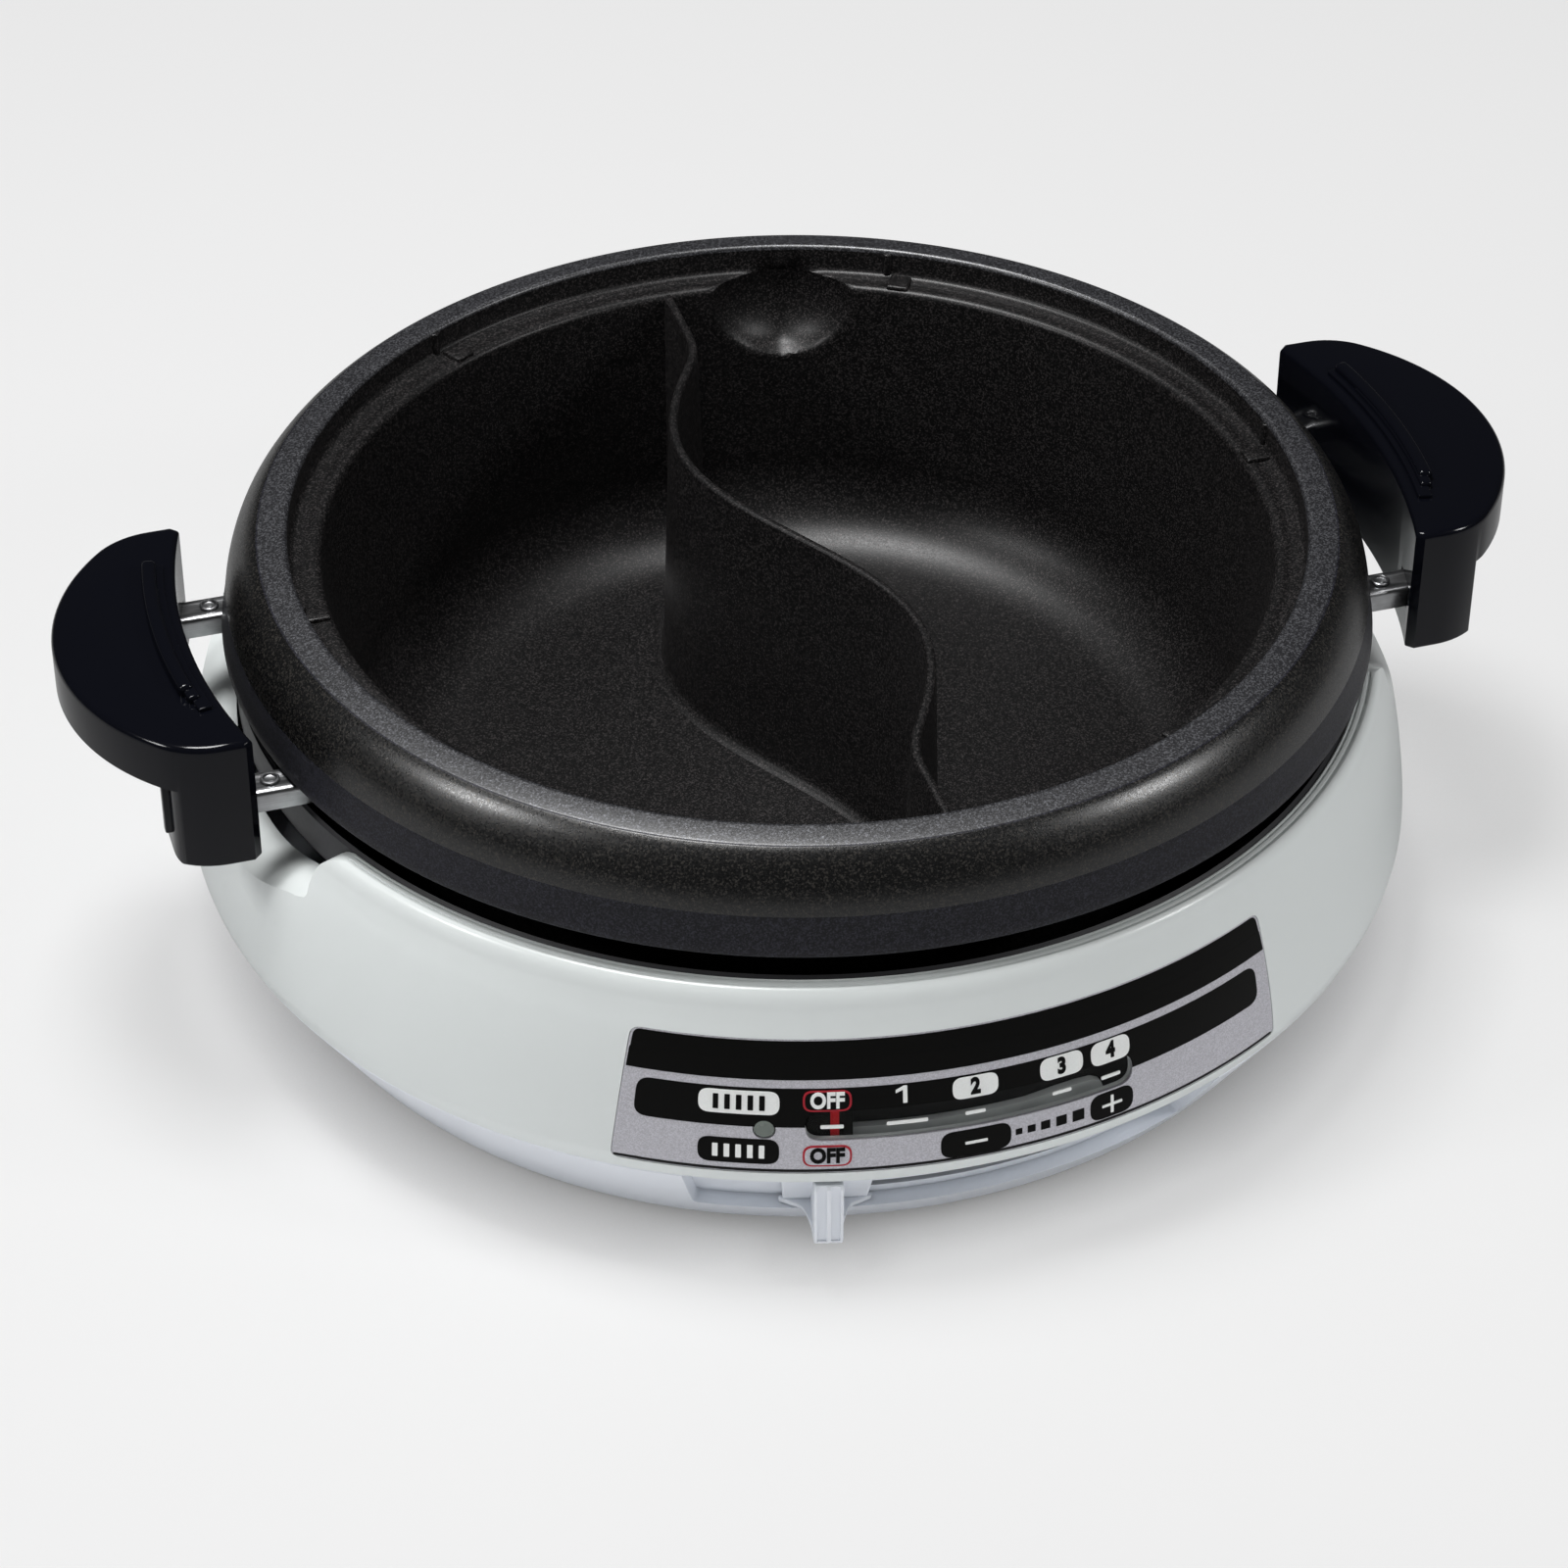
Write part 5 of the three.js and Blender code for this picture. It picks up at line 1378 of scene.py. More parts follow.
    def lower(self) -> Piece:
        """The lower casing, with the lever's recess and slot and the vents in its floor."""
        edge = self.band(self.under) - 1.5
        rim, wall = self.band(37), self.band_wall
        body = Piece.turned("lower_casing", [
            (0, self.under), (edge - 1, self.under), (edge, self.under + 0.15),
            (self.band(3.9) - 0.4, self.under + 0.5), (self.band(4.6), 4.6),
            *[(self.band(z), z) for z in range(6, 36, 3)], (self.band(36.4), 36.4),
            (rim - 0.5, self.parting), (rim - wall, self.parting),
            (self.band(self.floor) - wall, self.floor), (0, self.floor),
        ])
        a, b = self.recess
        margin = 1.2
        sill, top = self.recess_sill, self.parting
        backing = Piece.plate("backing", [
            (self.flat(a - margin), sill - 2.4), (self.flat(b + margin), sill - 2.4),
            (self.flat(b + margin), top - 0.01), (self.flat(a - margin), top - 0.01)],
            self.recess_depth + self.band_wall, self.band_wall / 2)
        backing.sliced(0, 5.0).mapped(self.wrapped(self.band)).cleaned()
        body.united(backing)
        corners = [(a, sill), (b, sill), (b, top + 6), (a, top + 6)]
        body.cut(self.wrap_cut(corners, 2.0, self.recess_depth, self.band))
        low, high = self.slot
        start, end = (self.flat(azimuth) for azimuth in self.slot_span)
        slot = Piece.plate(
            "c", [(start, low), (end, low), (end, high), (start, high)],
            self.recess_depth - 3, self.recess_depth + 8)
        body.cut(slot.sliced(0, 5.0).mapped(self.wrapped(self.band)).cleaned())
        first = Piece.box("c", (61.0, -2.5, 0), (95.0, 2.5, 8)).bevelled(2.4, 4, 60)
        for i in range(8):
            body.cut(first.copied("c").turned_by(22.5 + 45 * i))
        bpy.data.objects.remove(first.thing)
        return body

    def guard(self) -> Piece:
        """The sheet-metal ring inside the lip."""
        outer = self.lip - 0.3
        return Piece.turned("guard_lining", flowing([
            (158.0, 69.3), (158.0, 70.4), (164, 75.5), (outer - 0.6, 86.6), (outer, 88.4), (outer, 99.4),
        ], 3) + flowing([
            (outer - 0.6, 99.8), (outer - 1.2, 99.4), (outer - 1.2, 88.6), (outer - 1.9, 87.0),
            (163.4, 76.6), (156.8, 71.6), (154.2, 70.5), (154.2, 69.3),
        ], 3))

    def build(self, panel: Panel) -> None:
        """Makes the casing's pieces, with the panel's recess and holes in the upper one."""
        upper = self.upper()
        panel.cut_from(upper, self)
        upper.cut(Piece.box("c", (-22.3, 150, 42.7), (22.3, 200, 65.3)).bevelled(1.2, 3))
        upper.finished(SHELL, Body.BASE, "shell_white", ["outer_shell"], 28)
        self.lower().finished(COVER_PAINTED_BOUNCE, Body.BASE, "cover_white", ["bottom_cover"], 28)
        self.guard().finished(GUARD, Body.BASE, "guard_steel", ["guard_ring"])


@dataclass
class Panel:
    """Front panel with its printed fields, window and lamp."""

    low: float = 42.0
    high: float = 86.0
    top_span: Point = (-121.7, -60.7)
    bottom_span: Point = (-123.15, -59.7)
    window: tuple[float, float, float, float] = (-106.3, -76.5, 53.5, 63.5)
    lamp_azimuth: float = -109.8
    lamp_height: float = 57.3
    lamp_radius: float = 3.0
    face: float = 0.18
    ink: float = 0.09
    face_radius: float = 192.2
    mode_bars: tuple[float, ...] = (-114.0, -113.0, -112.0, -111.0, -110.0)
    mark_heights: tuple[float, float] = (57.7, 58.8)
    scale_marks: tuple[Point, ...] = (
        (-104.0, 1.0), (-97.5, 1.8), (-91.5, 0.9), (-83.5, 0.9), (-78.7, 0.95),
    )

    def corners(self, gap: float) -> list[Point]:
        """Azimuth and height of the panel's corners, with a gap round it."""
        turn = math.degrees(gap / self.face_radius)
        return [
            (self.bottom_span[0] - turn, self.low - gap), (self.bottom_span[1] + turn, self.low - gap),
            (self.top_span[1] + turn, self.high + gap), (self.top_span[0] - turn, self.high + gap),
        ]

    def window_corners(self, gap: float) -> list[Point]:
        """Azimuth and height of the window's corners."""
        a, b, low, high = self.window
        turn = math.degrees(gap / self.face_radius)
        return [
            (a - turn, low - gap), (b + turn, low - gap),
            (b + turn, high + gap), (a - turn, high + gap),
        ]

    def lamp_hole(self, casing: Casing, gap: float) -> Piece:
        """A cutter for the lamp's hole."""
        hole = Piece.rod("c", self.lamp_radius + gap, 165, 200)
        hole.thing.rotation_euler = (0, math.radians(90), 0)
        hole.placed()
        return hole.moved(0, 0, self.lamp_height).turned_by(self.lamp_azimuth)

    def cut_from(self, shell: Piece, casing: Casing) -> None:
        """Cuts the panel's recess, the window and the lamp's hole into the upper casing."""
        shell.cut(casing.wrap_cut(self.corners(0.15), 3.2, 1.3, casing.radius))
        shell.cut(casing.wrap_cut(self.window_corners(0), 4.6, 6.0, casing.radius))
        shell.cut(self.lamp_hole(casing, 0.3))

    def field(
        self, casing: Casing, corners: Sequence[Point], radius: float, level: float, name: str = "field",
    ) -> Piece:
        """A printed field on the panel.

        Args:
            casing: The casing whose face it follows.
            corners: Azimuth and height of each corner.
            radius: Radius of its corners.
            level: How many layers of ink lie under it.
            name: Name of the piece.

        Returns:
            The field, wrapped on the panel.
        """
        outline = rounded_outline([(casing.flat(a), z) for a, z in corners], radius)
        front = self.face - self.ink * level
        piece = Piece.plate(name, outline, self.face + 0.2, front - self.ink)
        return piece.sliced(0, 6.0).sliced(2, 7.0).mapped(casing.wrapped(casing.radius)).cleaned()

    def letters(
        self, casing: Casing, text: str, azimuth: float, height: float, size: float, level: float,
        weight: float = 0.036,
    ) -> Piece:
        """Raised letters on the panel.

        Args:
            casing: The casing whose face they follow.
            text: The letters.
            azimuth: Azimuth of their middle.
            height: Height of their middle.
            size: Size of the type.
            level: How many layers of ink lie under them.
            weight: How much the strokes are thickened, as a share of the size.

        Returns:
            The letters, wrapped on the panel.
        """
        bpy.ops.object.text_add(location=(0, 0, 0))
        made = bpy.context.active_object
        made.data.body = text
        made.data.size = size
        made.data.align_x = "CENTER"
        made.data.align_y = "CENTER"
        made.data.offset = weight * size
        made.data.extrude = self.ink
        made.data.resolution_u = 4
        alone(made)
        bpy.ops.object.convert(target="MESH")
        piece = Piece(bpy.context.active_object, "letters")
        piece.thing.rotation_euler = (math.radians(90), 0, 0)
        piece.placed()
        piece.thing.scale = (0.8, 0.97, 1)
        piece.placed()
        piece.moved(casing.flat(azimuth), self.face - self.ink * (level + 0.4), height)
        return piece.mapped(casing.wrapped(casing.radius)).cleaned()

    def bars(
        self, casing: Casing, places: Sequence[float], height: float, half: Point, level: float
    ) -> list[Piece]:
        """Plain bars, half as wide in degrees and half as high as given, at azimuths and a height."""
        wide, tall = half
        low, high = height - tall, height + tall
        return [
            self.field(
                casing, [(a - wide, low), (a + wide, low), (a + wide, high), (a - wide, high)], 0.2, level)
            for a in places
        ]

    def pill(self, casing: Casing, span: Point, heights: Point, level: float) -> Piece:
        """A rounded field between two azimuths and two heights."""
        (a, b), (low, high) = span, heights
        return self.field(casing, [(a, low), (b, low), (b, high), (a, high)], (high - low) * 0.42, level)

    def build(self, casing: Casing) -> None:
        """Makes the panel's plate, its print, the window and the lamp."""
        outline = rounded_outline([(casing.flat(a), z) for a, z in self.corners(0)], 3.0)
        plate = Piece.plate("panel_plate", outline, 1.0, self.face)
        plate.sliced(0, 5.0).sliced(2, 4.0).mapped(casing.wrapped(casing.radius)).cleaned()
        plate.cut(casing.wrap_cut(self.window_corners(0), 4.6, 6.0, casing.radius))
        plate.cut(self.lamp_hole(casing, 0.3))
        plate.finished(PANEL_SILVER, Body.BASE, "panel_black", ["control_panel"], 28)
        self.print_fields(casing)
        self.window_parts(casing)

    def print_fields(self, casing: Casing) -> None:
        """Prints the black fields, the pills, the marks and the scale."""
        top = [(-121.9, 74.5), (-60.55, 74.5), (-60.95, 85.5), (-121.45, 85.5)]
        band = self.field(casing, top, 2.2, 0, "panel_top_band")
        foot = [(-121.97, 73.6), (-60.5, 73.6), (-60.7, 80.0), (-121.75, 80.0)]
        band.united(self.field(casing, foot, 0.3, 0))
        bar = self.field(casing, [(-121.2, 58.2), (-61.7, 58.2), (-61.9, 70.9), (-120.9, 70.9)], 4.2, 0)
        bar.cut(casing.wrap_cut(self.window_corners(0), 4.6, 6.0, casing.radius))
        line = [(-122.9, 42.4), (-60.0, 42.4), (-60.0, 43.4), (-122.9, 43.4)]
        blacks = [bar, self.field(casing, line, 0.2, 0)]
        for span, heights in (
            ((-115.5, -108.5), (45.4, 54.0)), ((-94.6, -88.3), (43.6, 52.6)), ((-80.8, -76.5), (43.9, 53.0)),
        ):
            blacks.append(self.pill(casing, span, heights, 0))
        for i, azimuth in enumerate((-87.58, -86.42, -85.11, -83.6, -81.97)):
            half = 1.0 + 0.22 * i
            turn = half / casing.degree_width
            middle = 48.3
            corners = [(azimuth - turn, middle - half), (azimuth + turn, middle - half),
                       (azimuth + turn, middle + half), (azimuth - turn, middle + half)]
            blacks.append(self.field(casing, corners, 0.1, 0))
        band.with_loose(*blacks).finished(PANEL_BLACK, Body.BASE, "panel_black", angle=28)
        whites = [
            self.pill(casing, span, heights, 1)
            for span, heights in (
                ((-115.5, -108.5), (62.3, 69.9)), ((-93.5, -89.4), (63.3, 70.3)),
                ((-85.5, -81.4), (63.2, 70.5)), ((-80.6, -76.7), (62.9, 70.5)),
            )
        ]
        whites += self.bars(casing, self.mode_bars, 49.7, (0.24, 2.2), 2)
        whites += self.bars(casing, [-91.45], 48.1, (1.0, 0.45), 2)
        whites += self.bars(casing, [-78.65], 48.45, (1.0, 0.45), 2)
        whites += self.bars(casing, [-78.65], 48.45, (0.14, 3.1), 2)
        whites += self.bars(casing, [-97.68], 67.5, (0.19, 2.8), 1)
        flag = [(-98.5, 68.1), (-97.8, 69.1), (-97.8, 70.3), (-98.5, 69.1)]
        whites.append(self.field(casing, flag, 0.1, 1))
        under, over = self.mark_heights
        for azimuth, half in self.scale_marks:
            start, end = azimuth - half, azimuth + half
            corners = [(start, under), (end, under), (end, over), (start, over)]
            whites.append(self.field(casing, corners, 0.4, 0))
        whites[0].with_loose(*whites[1:]).finished(PANEL_WHITE, Body.BASE, "panel_black", angle=28)
        whites[0].thing.name = "panel_white_marks"
        reds = []
        for heights in ((63.5, 70.3), (44.7, 52.0)):
            reds.append(self.pill(casing, (-106.5, -102.3), heights, 1))
        reds[0].with_loose(*reds[1:]).finished(PANEL_RED, Body.BASE, "panel_black", angle=28)
        reds[0].thing.name = "panel_red_marks"
        hearts = self.pill(casing, (-106.32, -102.48), (64.1, 69.7), 2)
        hearts.finished(PANEL_BLACK, Body.BASE, "panel_black")
        hearts.thing.name = "panel_off_black"
        light = self.pill(casing, (-106.32, -102.48), (45.3, 51.4), 2)
        light.finished(PANEL_SILVER, Body.BASE, "panel_black")
        light.thing.name = "panel_off_light"
        words = [self.letters(casing, "OFF", -104.4, 48.35, 7.0, 3, 0.045)]
        for digit, azimuth in (("2", -91.45), ("3", -83.45), ("4", -78.65)):
            words.append(self.letters(casing, digit, azimuth, 66.8, 7.0, 2, 0.05))
        words += self.bars(casing, self.mode_bars, 66.1, (0.24, 2.4), 2)
        words[0].with_loose(*words[1:]).finished(PANEL_BLACK, Body.BASE, "panel_black")
        words[0].thing.name = "panel_black_words"
        off = self.letters(casing, "OFF", -104.4, 66.9, 7.0, 3)
        off.finished(PANEL_WHITE, Body.BASE, "panel_black")
        off.thing.name = "panel_white_words"

    def window_parts(self, casing: Casing) -> None:
        """Makes the clear window, the strip behind it and the lamp."""
        a, b, low, high = self.window
        start, end, under, over = a + 0.1, b - 0.1, low + 0.3, high - 0.3
        corners = [(start, under), (end, under), (end, over), (start, over)]
        lens = self.field(casing, corners, 4.4, 0, "window_cover")
        lens.finished(LENS, Body.BASE, "lens", ["window_lens"], 28)
        # Black sheet behind the window: painted shade of the casing's inside above the sill.
        corners = [(a - 2, 46.5), (b + 3, 46.5), (b + 3, 61.0), (a - 2, 61.0)]
        outline = [(casing.flat(x), z) for x, z in corners]
        back = Piece.plate("window_backing_painted_shade", outline, 9.6, 8.6)
        back.sliced(0, 5.0).mapped(casing.wrapped(casing.radius)).cleaned()
        back.finished(MOULDING, Body.BASE, "moulding_black")
        line = [
            (-103.0, 47.5), (-78.9, 47.5), (-78.6, 48.6), (-78.5, 50.4), (-78.7, 52.2),
            (-79.5, 53.6), (-81.0, 54.1), (-83.4, 54.0), (-86.0, 53.2), (-103.0, 53.2),
        ]
        outline = [(casing.flat(x), z) for x, z in line]
        sill = Piece.plate("scale_sill", outline, 8.2, 6.0)
        sill.sliced(0, 5.0).mapped(casing.wrapped(casing.radius)).cleaned()
        sill.finished(SHELL, Body.BASE, "shell_white")
        face = casing.radius(self.lamp_height)
        lens = Piece.turned("lamp_cover", [
            (0, face - 4.4), (3.0, face - 4.4), (3.0, face - 0.4),
            (2.6, face), (1.6, face + 0.2), (0, face + 0.28),
        ], SMALL_STEPS)
        lens.thing.rotation_euler = (0, math.radians(90), 0)
        lens.placed().moved(0, 0, self.lamp_height).turned_by(self.lamp_azimuth)
        lens.finished(LAMP_LENS, Body.BASE, "lens", ["lamp_lens"])


@dataclass
class Controls:
    """Lever with its finger tab, and the pointer behind the window."""

    rest: float = -104.2
    arm_low: float = 18.8
    arm_high: float = 22.0
    plate_low: float = 12.95
    plate_high: float = 34.5
    plate_half: float = 13.9
    plate_sheet: float = 2.2
    tab_half: float = 4.3
    tab_out: float = 192.05

    def lever(self, casing: Casing) -> Piece:
        """The lever: hub, arm, curved plate and ridged finger tab."""
        mid = casing.flat(self.rest)

        def face(z: float) -> float:
            return casing.band(z) - casing.recess_depth + 0.6 + self.plate_sheet

        half, low, high = self.plate_half, self.plate_low, self.plate_high
        outline = [(mid - half, low), (mid + half, low), (mid + half, high), (mid - half, high)]
        plate = Piece.plate("control_slide", outline, self.plate_sheet, 0)
        plate.bevelled(0.5, 3, 40)
        plate.sliced(0, 4.0).mapped(casing.wrapped(face)).cleaned()
        arm = Piece.box("arm", (8, -5, self.arm_low), (face(20) - 1.2, 5, self.arm_high)).bevelled(0.6, 3)
        hub = Piece.rod("hub", 13, self.arm_low, self.arm_high).bevelled(0.5, 3)
        arm.united(hub).cut(Piece.rod("c", 5.1, 10, 30)).turned_by(self.rest)
        lo = 13.0
        side = [
            (face(low) - 1.2, low + 0.4), (face(lo) + 1.6, lo), (self.tab_out - 3.2, lo),
            (self.tab_out - 0.9, lo + 0.8), (self.tab_out, lo + 3), (self.tab_out, high + 0.6),
            (self.tab_out - 0.5, high + 1.3), (self.tab_out - 1.6, high + 1.4),
            (face(high) - 1.2, high - 0.4),
        ]
        tab = Piece.plate("tab", side, -self.tab_half, self.tab_half).bevelled(0.8, 4, 40)
        flutes = [
            Piece.box("c", (self.tab_out - 0.9, y - 1.35, lo + 2), (self.tab_out + 2, y + 1.35, high + 3))
            for y in (-2.0, 2.0)
        ]
        tab.cut(*flutes).turned_by(self.rest)
        root = face(lo) - 1.0
        bow = flowing([
            (root + 1.2, half - 0.3), (root + 3, 10.2), (175.5, 7.4), (179, 5.8), (184, 4.7), (190.4, 4.2),
        ], 4)
        edge = [(root, half - 0.3), *bow]
        gusset = Piece.prism("gusset", [*edge, *[(r, -y) for r, y in reversed(edge)]], lo - 0.05, lo + 1.5)
        gusset.bevelled(0.3, 2, 50).turned_by(self.rest)
        return plate.united(tab, arm, gusset)

    def build(self, casing: Casing, panel: Panel) -> None:
        """Makes the lever and the pointer."""
        self.lever(casing).finished(COVER_PAINTED_BOUNCE, Body.LEVER, "cover_white", ["control_lever"])
        deep = 3.6
        mid = casing.flat(self.rest)
        outline = rounded_outline([(mid - 7, 50.5), (mid + 7, 50.5), (mid + 7, 66.5), (mid - 7, 66.5)], 1.0)
        plate = Piece.plate("pointer_flag", outline, deep + 1.6, deep).bevelled(0.3, 2)
        plate.sliced(0, 4.0).mapped(casing.wrapped(casing.radius)).cleaned()
        stalk = Piece.box("stalk", (162.0, -4, 22.3), (166.0, 4, 60.5)).bevelled(0.6, 3)
        reach = casing.radius(58.5) - deep - 0.8
        bridge = Piece.box("bridge", (162.4, -4, 56.5), (reach, 4, 60.5)).bevelled(0.4, 2)
        stalk.united(bridge).turned_by(self.rest)
        plate.united(stalk).finished(PANEL_BLACK, Body.LEVER, "pointer_black", ["pointer_plate"])
        left, right = self.rest + 0.12, self.rest + 0.88
        corners = [(left, 51.4), (right, 51.4), (right, 65.6), (left, 65.6)]
        stripe = panel.field(casing, corners, 0.2, 0, "pointer_stripe")

        def sunk(spot: Vector) -> Vector:
            radius = math.hypot(spot.x, spot.y) - deep + 0.1 + panel.face
            return Vector((*polar(radius, math.degrees(math.atan2(spot.y, spot.x))), spot.z))

        stripe.mapped(sunk)
        stripe.finished(STRIPE, Body.LEVER, "pointer_black")


@dataclass
class Works:
    """Heater, reflector, sensor, inlet, feet and screws."""

    ring: float = 88.0
    axis: float = 33.2
    tube: float = 3.5
    foot_circle: float = 140.5
    screw_circle: float = 162.0
    feet: dict[str, float] = field(default_factory=lambda: {
        "rear_right": 45, "rear_left": 135, "front_left": 225, "front_right": 315})

    def heater(self) -> Piece:
        """The sheathed ring with its two turned-down ends."""
        end, drop, leg_x = 112.0, 17.4, 12.0
        curve = 8.0
        elbow = arc((end - curve, self.axis - curve), curve, 0, 90, 9)
        leg = [(leg_x, end, drop), *[(leg_x, y, z) for y, z in elbow]]
        gap = math.degrees(math.asin(16 / self.ring))
        turn = [(*polar(self.ring, 90 - gap - (360 - 2 * gap) * i / 96), self.axis) for i in range(97)]
        joint = flowing([(leg_x, 104.0), (leg_x, 98.5), turn[0][:2], turn[3][:2]], 5)
        right = [*leg, *[(x, y, self.axis) for x, y in joint[1:]]]
        left = [(-x, y, z) for x, y, z in reversed(right)]
        return Piece.swept("heater_ring", [*right, *turn[4:-4], *left], self.tube)

    def reflector(self) -> Piece:
        """The polished dish."""
        outer = flowing([
            (16, 24.2), (100, 24.2), (126.0, 24.6), (141.0, 29.3), (151.5, 41.2), (155.2, 55), (156, 69.0),
        ], 4)
        inner = [(r - (1.2 if i > 5 else 0), z + (1.2 if i < 18 else 0)) for i, (r, z) in enumerate(outer)]
        dish = Piece.turned("reflector_pan", [*outer, *reversed(inner)])
        for x in (-12, 12):
            dish.cut(Piece.rod("c", 4.1, 20, 30, (x, 112)))
        return dish

    def inlet(self) -> Piece:
        """The moulded appliance inlet at the back."""
        block = Piece.box("inlet_housing", (-22, 166.9, 43), (22, 190.9, 65)).bevelled(1.0, 3)
        block.cut(Piece.box("c", (-18, 173.9, 47), (18, 196, 61)).bevelled(2.2, 4, 60))
        for x in (-9, 9):
            hole = Piece.rod("c", 2.3, 160, 180)
            hole.thing.rotation_euler = (math.radians(-90), 0, 0)
            block.cut(hole.placed().moved(x, 0, 54))
        return block

    def build(self) -> None:
        """Makes what stands in the base."""
        self.heater().finished(SHEATH, Body.BASE, "sheath", ["heating_element"])
        self.reflector().finished(POLISHED, Body.BASE, "reflector", ["reflector_dish"])
        cap = Piece.turned("sensor_head", [
            (0, 13.0), (2, 13.0), (2, 33.7), (11.2, 33.7), (12, 34.3), (12, 35.9),
            (11.2, 36.6), (9, 36.7), (0, 36.7),
        ], SMALL_STEPS)
        cap.finished(POLISHED, Body.SENSOR, "reflector", ["sensor_cap"])
        self.inlet().finished(MOULDING, Body.BASE, "moulding_black", ["plug_receptacle"])
        for place, x in (("right", 9), ("left", -9)):
            pin = Piece.turned(f"contact_{place}", [
                (0, 164.9), (2, 164.9), (2, 184.2), (1.5, 185.4), (0.7, 185.9), (0, 185.9),
            ], SMALL_STEPS)
            pin.thing.rotation_euler = (math.radians(-90), 0, 0)
            pin.placed().moved(x, 0, 54)
            pin.finished(BRASS, Body.BASE, "pin_brass", [f"inlet_pin_{place}"])
        for place, azimuth in self.feet.items():
            foot = Piece.turned(f"pad_{place}", [
                (0, 0.2), (6.6, 0.2), (7.0, 0), (8.2, 0), (8.8, 0.4), (9, 1.0), (9, 2.7), (0, 2.7),
            ], SMALL_STEPS)
            foot.moved(*polar(self.foot_circle, azimuth))
            foot.finished(RUBBER, Body.BASE, "foot_rubber", [f"foot_{place}"])
            screw = Piece.turned(f"fixing_{place}", [
                (0, 1.9), (1.2, 1.9), (1.4, 1.2), (2.9, 1.2), (3.4, 1.7), (3.4, 2.7),
                (1.5, 2.7), (1.5, 20.7), (0, 20.7),
            ], SMALL_STEPS)
            screw.moved(*polar(self.screw_circle, azimuth))
            screw.finished(STEEL, Body.BASE, "stainless", [f"cover_screw_{place}"])

    def dress(self) -> None:
        """Gives the CAD nodes that still show their finishes."""
        table = {
            "heater_support": STEEL, "thermostat_bracket": STEEL, "thermostat_body": CERAMIC,
            "sensor_spring": STEEL, "pilot_lamp": CERAMIC, "terminal_block": CERAMIC,
            "supply_lead": WIRE, "link_lead": WIRE, "lamp_lead": WIRE,
            "handle_strap": STEEL, "handle_screw": STEEL,
        }
        for name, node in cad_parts.items():
            for start, finish in table.items():
                if name.startswith(start):
                    node.data.materials.clear()
                    node.data.materials.append(finish.material())


# Studio


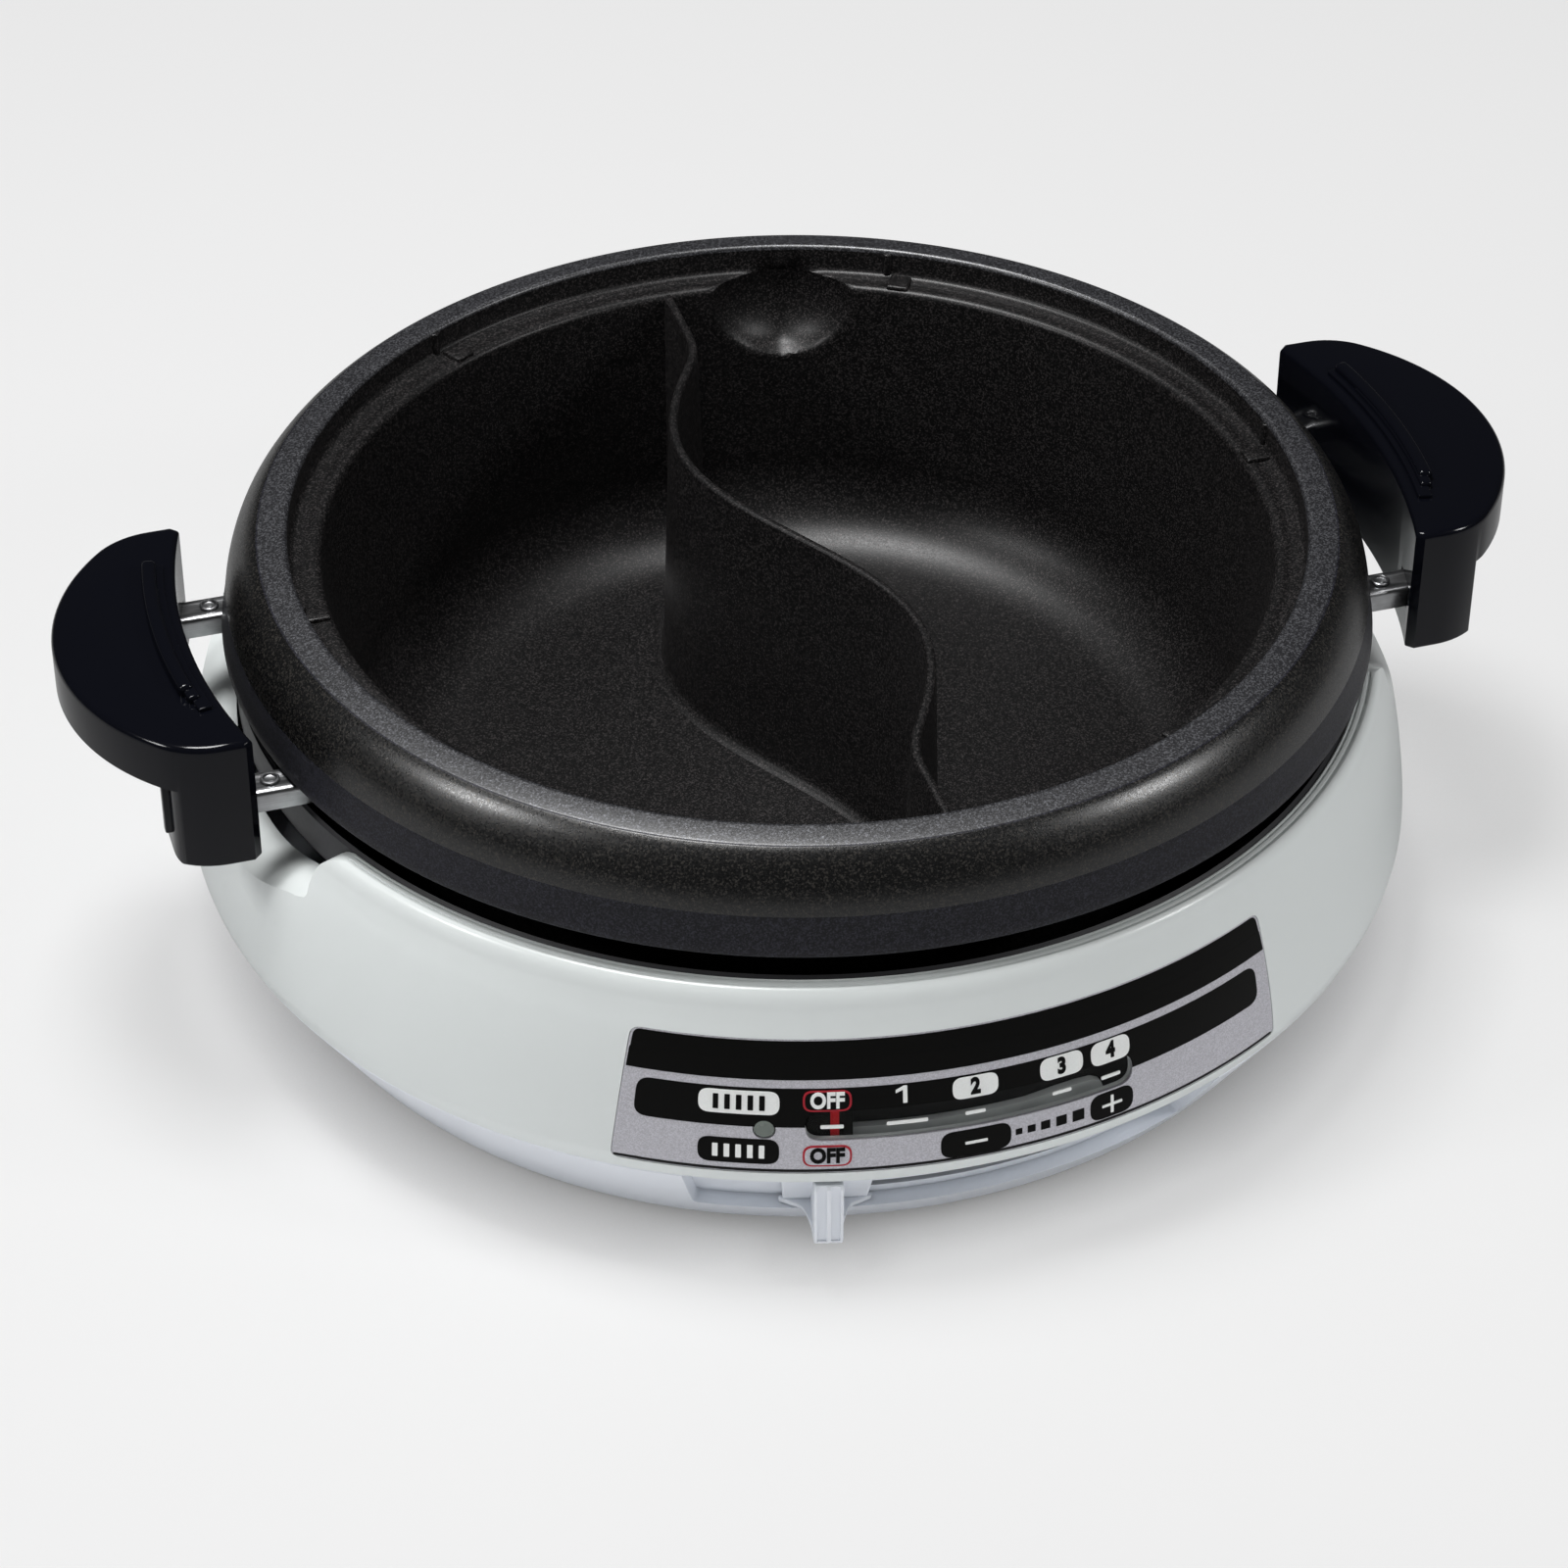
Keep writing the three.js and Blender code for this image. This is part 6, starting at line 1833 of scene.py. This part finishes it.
@dataclass
class Studio:
    """Floor, lamps and camera."""

    eye: tuple[float, float, float] = (-0.3383, -1.0932, 0.9151)
    forward: tuple[float, float, float] = (0.2317, 0.7579, -0.6098)
    roll: float = 0.15
    lens: float = 103.5
    backdrop: float = 0.87
    fill: tuple[float, float] = (0.05, 0.56)
    fill_from: tuple[float, float, float] = (-0.25, -0.86, -0.42)
    dim: float = 0.03
    glow: float = 0.57
    mirrored: float = 0.25
    # Reaches of the painted contact shadow on the floor's glow, near and wide.
    contact: Point = (0.025, 0.12)

    def camera(self) -> None:
        """Puts the camera where the photograph was taken."""
        data = bpy.data.cameras.new("camera")
        data.lens = self.lens
        data.sensor_width = 36
        data.clip_start, data.clip_end = 0.05, 50
        made = bpy.data.objects.new("camera", data)
        bpy.context.scene.collection.objects.link(made)
        ahead = Vector(self.forward).normalized()
        turn = ahead.to_track_quat("-Z", "Y").to_matrix().to_4x4()
        rolled = Matrix.Rotation(math.radians(self.roll), 4, "Z")
        made.matrix_world = Matrix.Translation(self.eye) @ turn @ rolled
        bpy.context.scene.camera = made

    def pale(self, name: str) -> bpy.types.Material:
        """The floor's material: pale, and lifted where the camera or a reflection sees it; its glow is
        darkened near the pot and more on its right, a painted shadow.
        """
        graph = Graph(name)
        tone = graph.ranged(graph.noise(2.0), 0.3, 0.7, 0.0, 1.0)
        ray = graph.node("ShaderNodeLightPath")
        seen = graph.sum(
            graph.sum(ray.outputs["Is Camera Ray"], ray.outputs["Is Glossy Ray"], "MAXIMUM"),
            ray.outputs["Is Transmission Ray"], "MAXIMUM")
        paper = graph.mixed(tone, (0.25, 0.25, 0.252, 1), (0.26, 0.26, 0.26, 1))
        colour = graph.mixed(seen, (0.85, 0.85, 0.86, 1), paper)
        graph.wear(Base_Color=colour, Roughness=0.9, Specular_IOR_Level=0.1)
        # Painted contact shadow: occlusion at two reaches darkens the floor's glow.
        near, far = [
            graph.node("ShaderNodeAmbientOcclusion", {"Distance": reach}, samples=8).outputs["AO"]
            for reach in self.contact
        ]
        # Painted shadow leaning to the right: the wide shade is deeper on that side.
        right = graph.node("ShaderNodeVectorMath", {
            0: graph.place(), 1: (0.94, -0.1, 0),
        }, operation="DOT_PRODUCT").outputs["Value"]
        side = graph.mixed_value(far, graph.ranged(right, 0.02, 0.17, 0.97, 0.55))
        level = graph.sum(graph.sum(graph.mixed_value(near, 0.3), side, "MULTIPLY"), self.glow, "MULTIPLY")
        seen = ray.outputs["Is Camera Ray"]
        for kind in ("Is Glossy Ray", "Is Transmission Ray"):
            part = graph.sum(ray.outputs[kind], self.mirrored, "MULTIPLY")
            seen = graph.sum(seen, part, "MAXIMUM")
        glow = graph.node(
            "ShaderNodeEmission", {"Color": (1, 1, 1, 1), "Strength": graph.sum(seen, level, "MULTIPLY")})
        both = graph.node("ShaderNodeAddShader", {0: graph.shader.outputs[0], 1: glow.outputs[0]})
        graph.tree.links.new(both.outputs[0], graph.output.inputs["Surface"])
        return graph.made

    def floor(self) -> None:
        """Lays the floor."""
        bpy.ops.mesh.primitive_plane_add(size=14, location=(0, 0, -0.0002))
        made = bpy.context.active_object
        made.name = "studio_floor"
        made.data.materials.append(self.pale("floor_with_painted_shadow"))

    def lamp(
        self, name: str, place: Sequence[float], aim: Sequence[float], size: Point, power: float,
    ) -> None:
        """Hangs one soft lamp."""
        data = bpy.data.lights.new(name, "AREA")
        data.shape = "RECTANGLE"
        data.size, data.size_y = size
        data.energy = power
        made = bpy.data.objects.new(name, data)
        bpy.context.scene.collection.objects.link(made)
        made.location = place
        made.rotation_mode = "QUATERNION"
        made.rotation_quaternion = (Vector(aim) - Vector(place)).to_track_quat("-Z", "Y")

    def world(self) -> None:
        """Sets the plain pale surroundings."""
        world = bpy.data.worlds.new("studio")
        bpy.context.scene.world = world
        world.use_nodes = True
        tree = world.node_tree
        back = tree.nodes["Background"]
        ray = tree.nodes.new("ShaderNodeLightPath")
        level = tree.nodes.new("ShaderNodeMix")
        seen = tree.nodes.new("ShaderNodeMix")
        level.data_type = seen.data_type = "FLOAT"
        tree.links.new(ray.outputs["Is Glossy Ray"], level.inputs[0])
        level.inputs[3].default_value = self.dim
        where = tree.nodes.new("ShaderNodeTexCoord")
        lean = tree.nodes.new("ShaderNodeVectorMath")
        lean.operation = "DOT_PRODUCT"
        lean.inputs[1].default_value = self.fill_from
        tree.links.new(where.outputs["Generated"], lean.inputs[0])
        soft = tree.nodes.new("ShaderNodeMapRange")
        for socket, value in zip(soft.inputs[1:5], (-0.2, 0.9, *self.fill)):
            socket.default_value = value
        tree.links.new(lean.outputs["Value"], soft.inputs[0])
        tree.links.new(soft.outputs[0], level.inputs[2])
        tree.links.new(ray.outputs["Is Camera Ray"], seen.inputs[0])
        tree.links.new(level.outputs[0], seen.inputs[2])
        seen.inputs[3].default_value = self.backdrop
        tree.links.new(seen.outputs[0], back.inputs["Strength"])
        back.inputs["Color"].default_value = (1, 1, 1, 1)

    def build(self) -> None:
        """Sets up the studio."""
        bpy.context.scene.view_settings.view_transform = "Standard"
        self.camera()
        self.world()
        self.floor()
        self.lamp("overhead", (-0.21, 0.14, 1.5), (0, 0, 0.1), (0.5, 0.45), 20)
        self.lamp("side_left", (-1.09, -0.13, 0.95), (0, 0, 0.1), (0.2, 0.3), 4.2)
        self.lamp("side_right", (0.98, -0.66, 0.9), (0, 0, 0.1), (0.2, 0.3), 4.0)


def main() -> None:
    """Builds the pot piece by piece."""
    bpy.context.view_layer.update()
    studio = Studio()
    studio.build()
    casing, panel = Casing(), Panel()
    Pan().build()
    Handles().build()
    casing.build(panel)
    panel.build(casing)
    Controls().build(casing, panel)
    works = Works()
    works.build()
    works.dress()


if __name__ == "__main__":
    main()
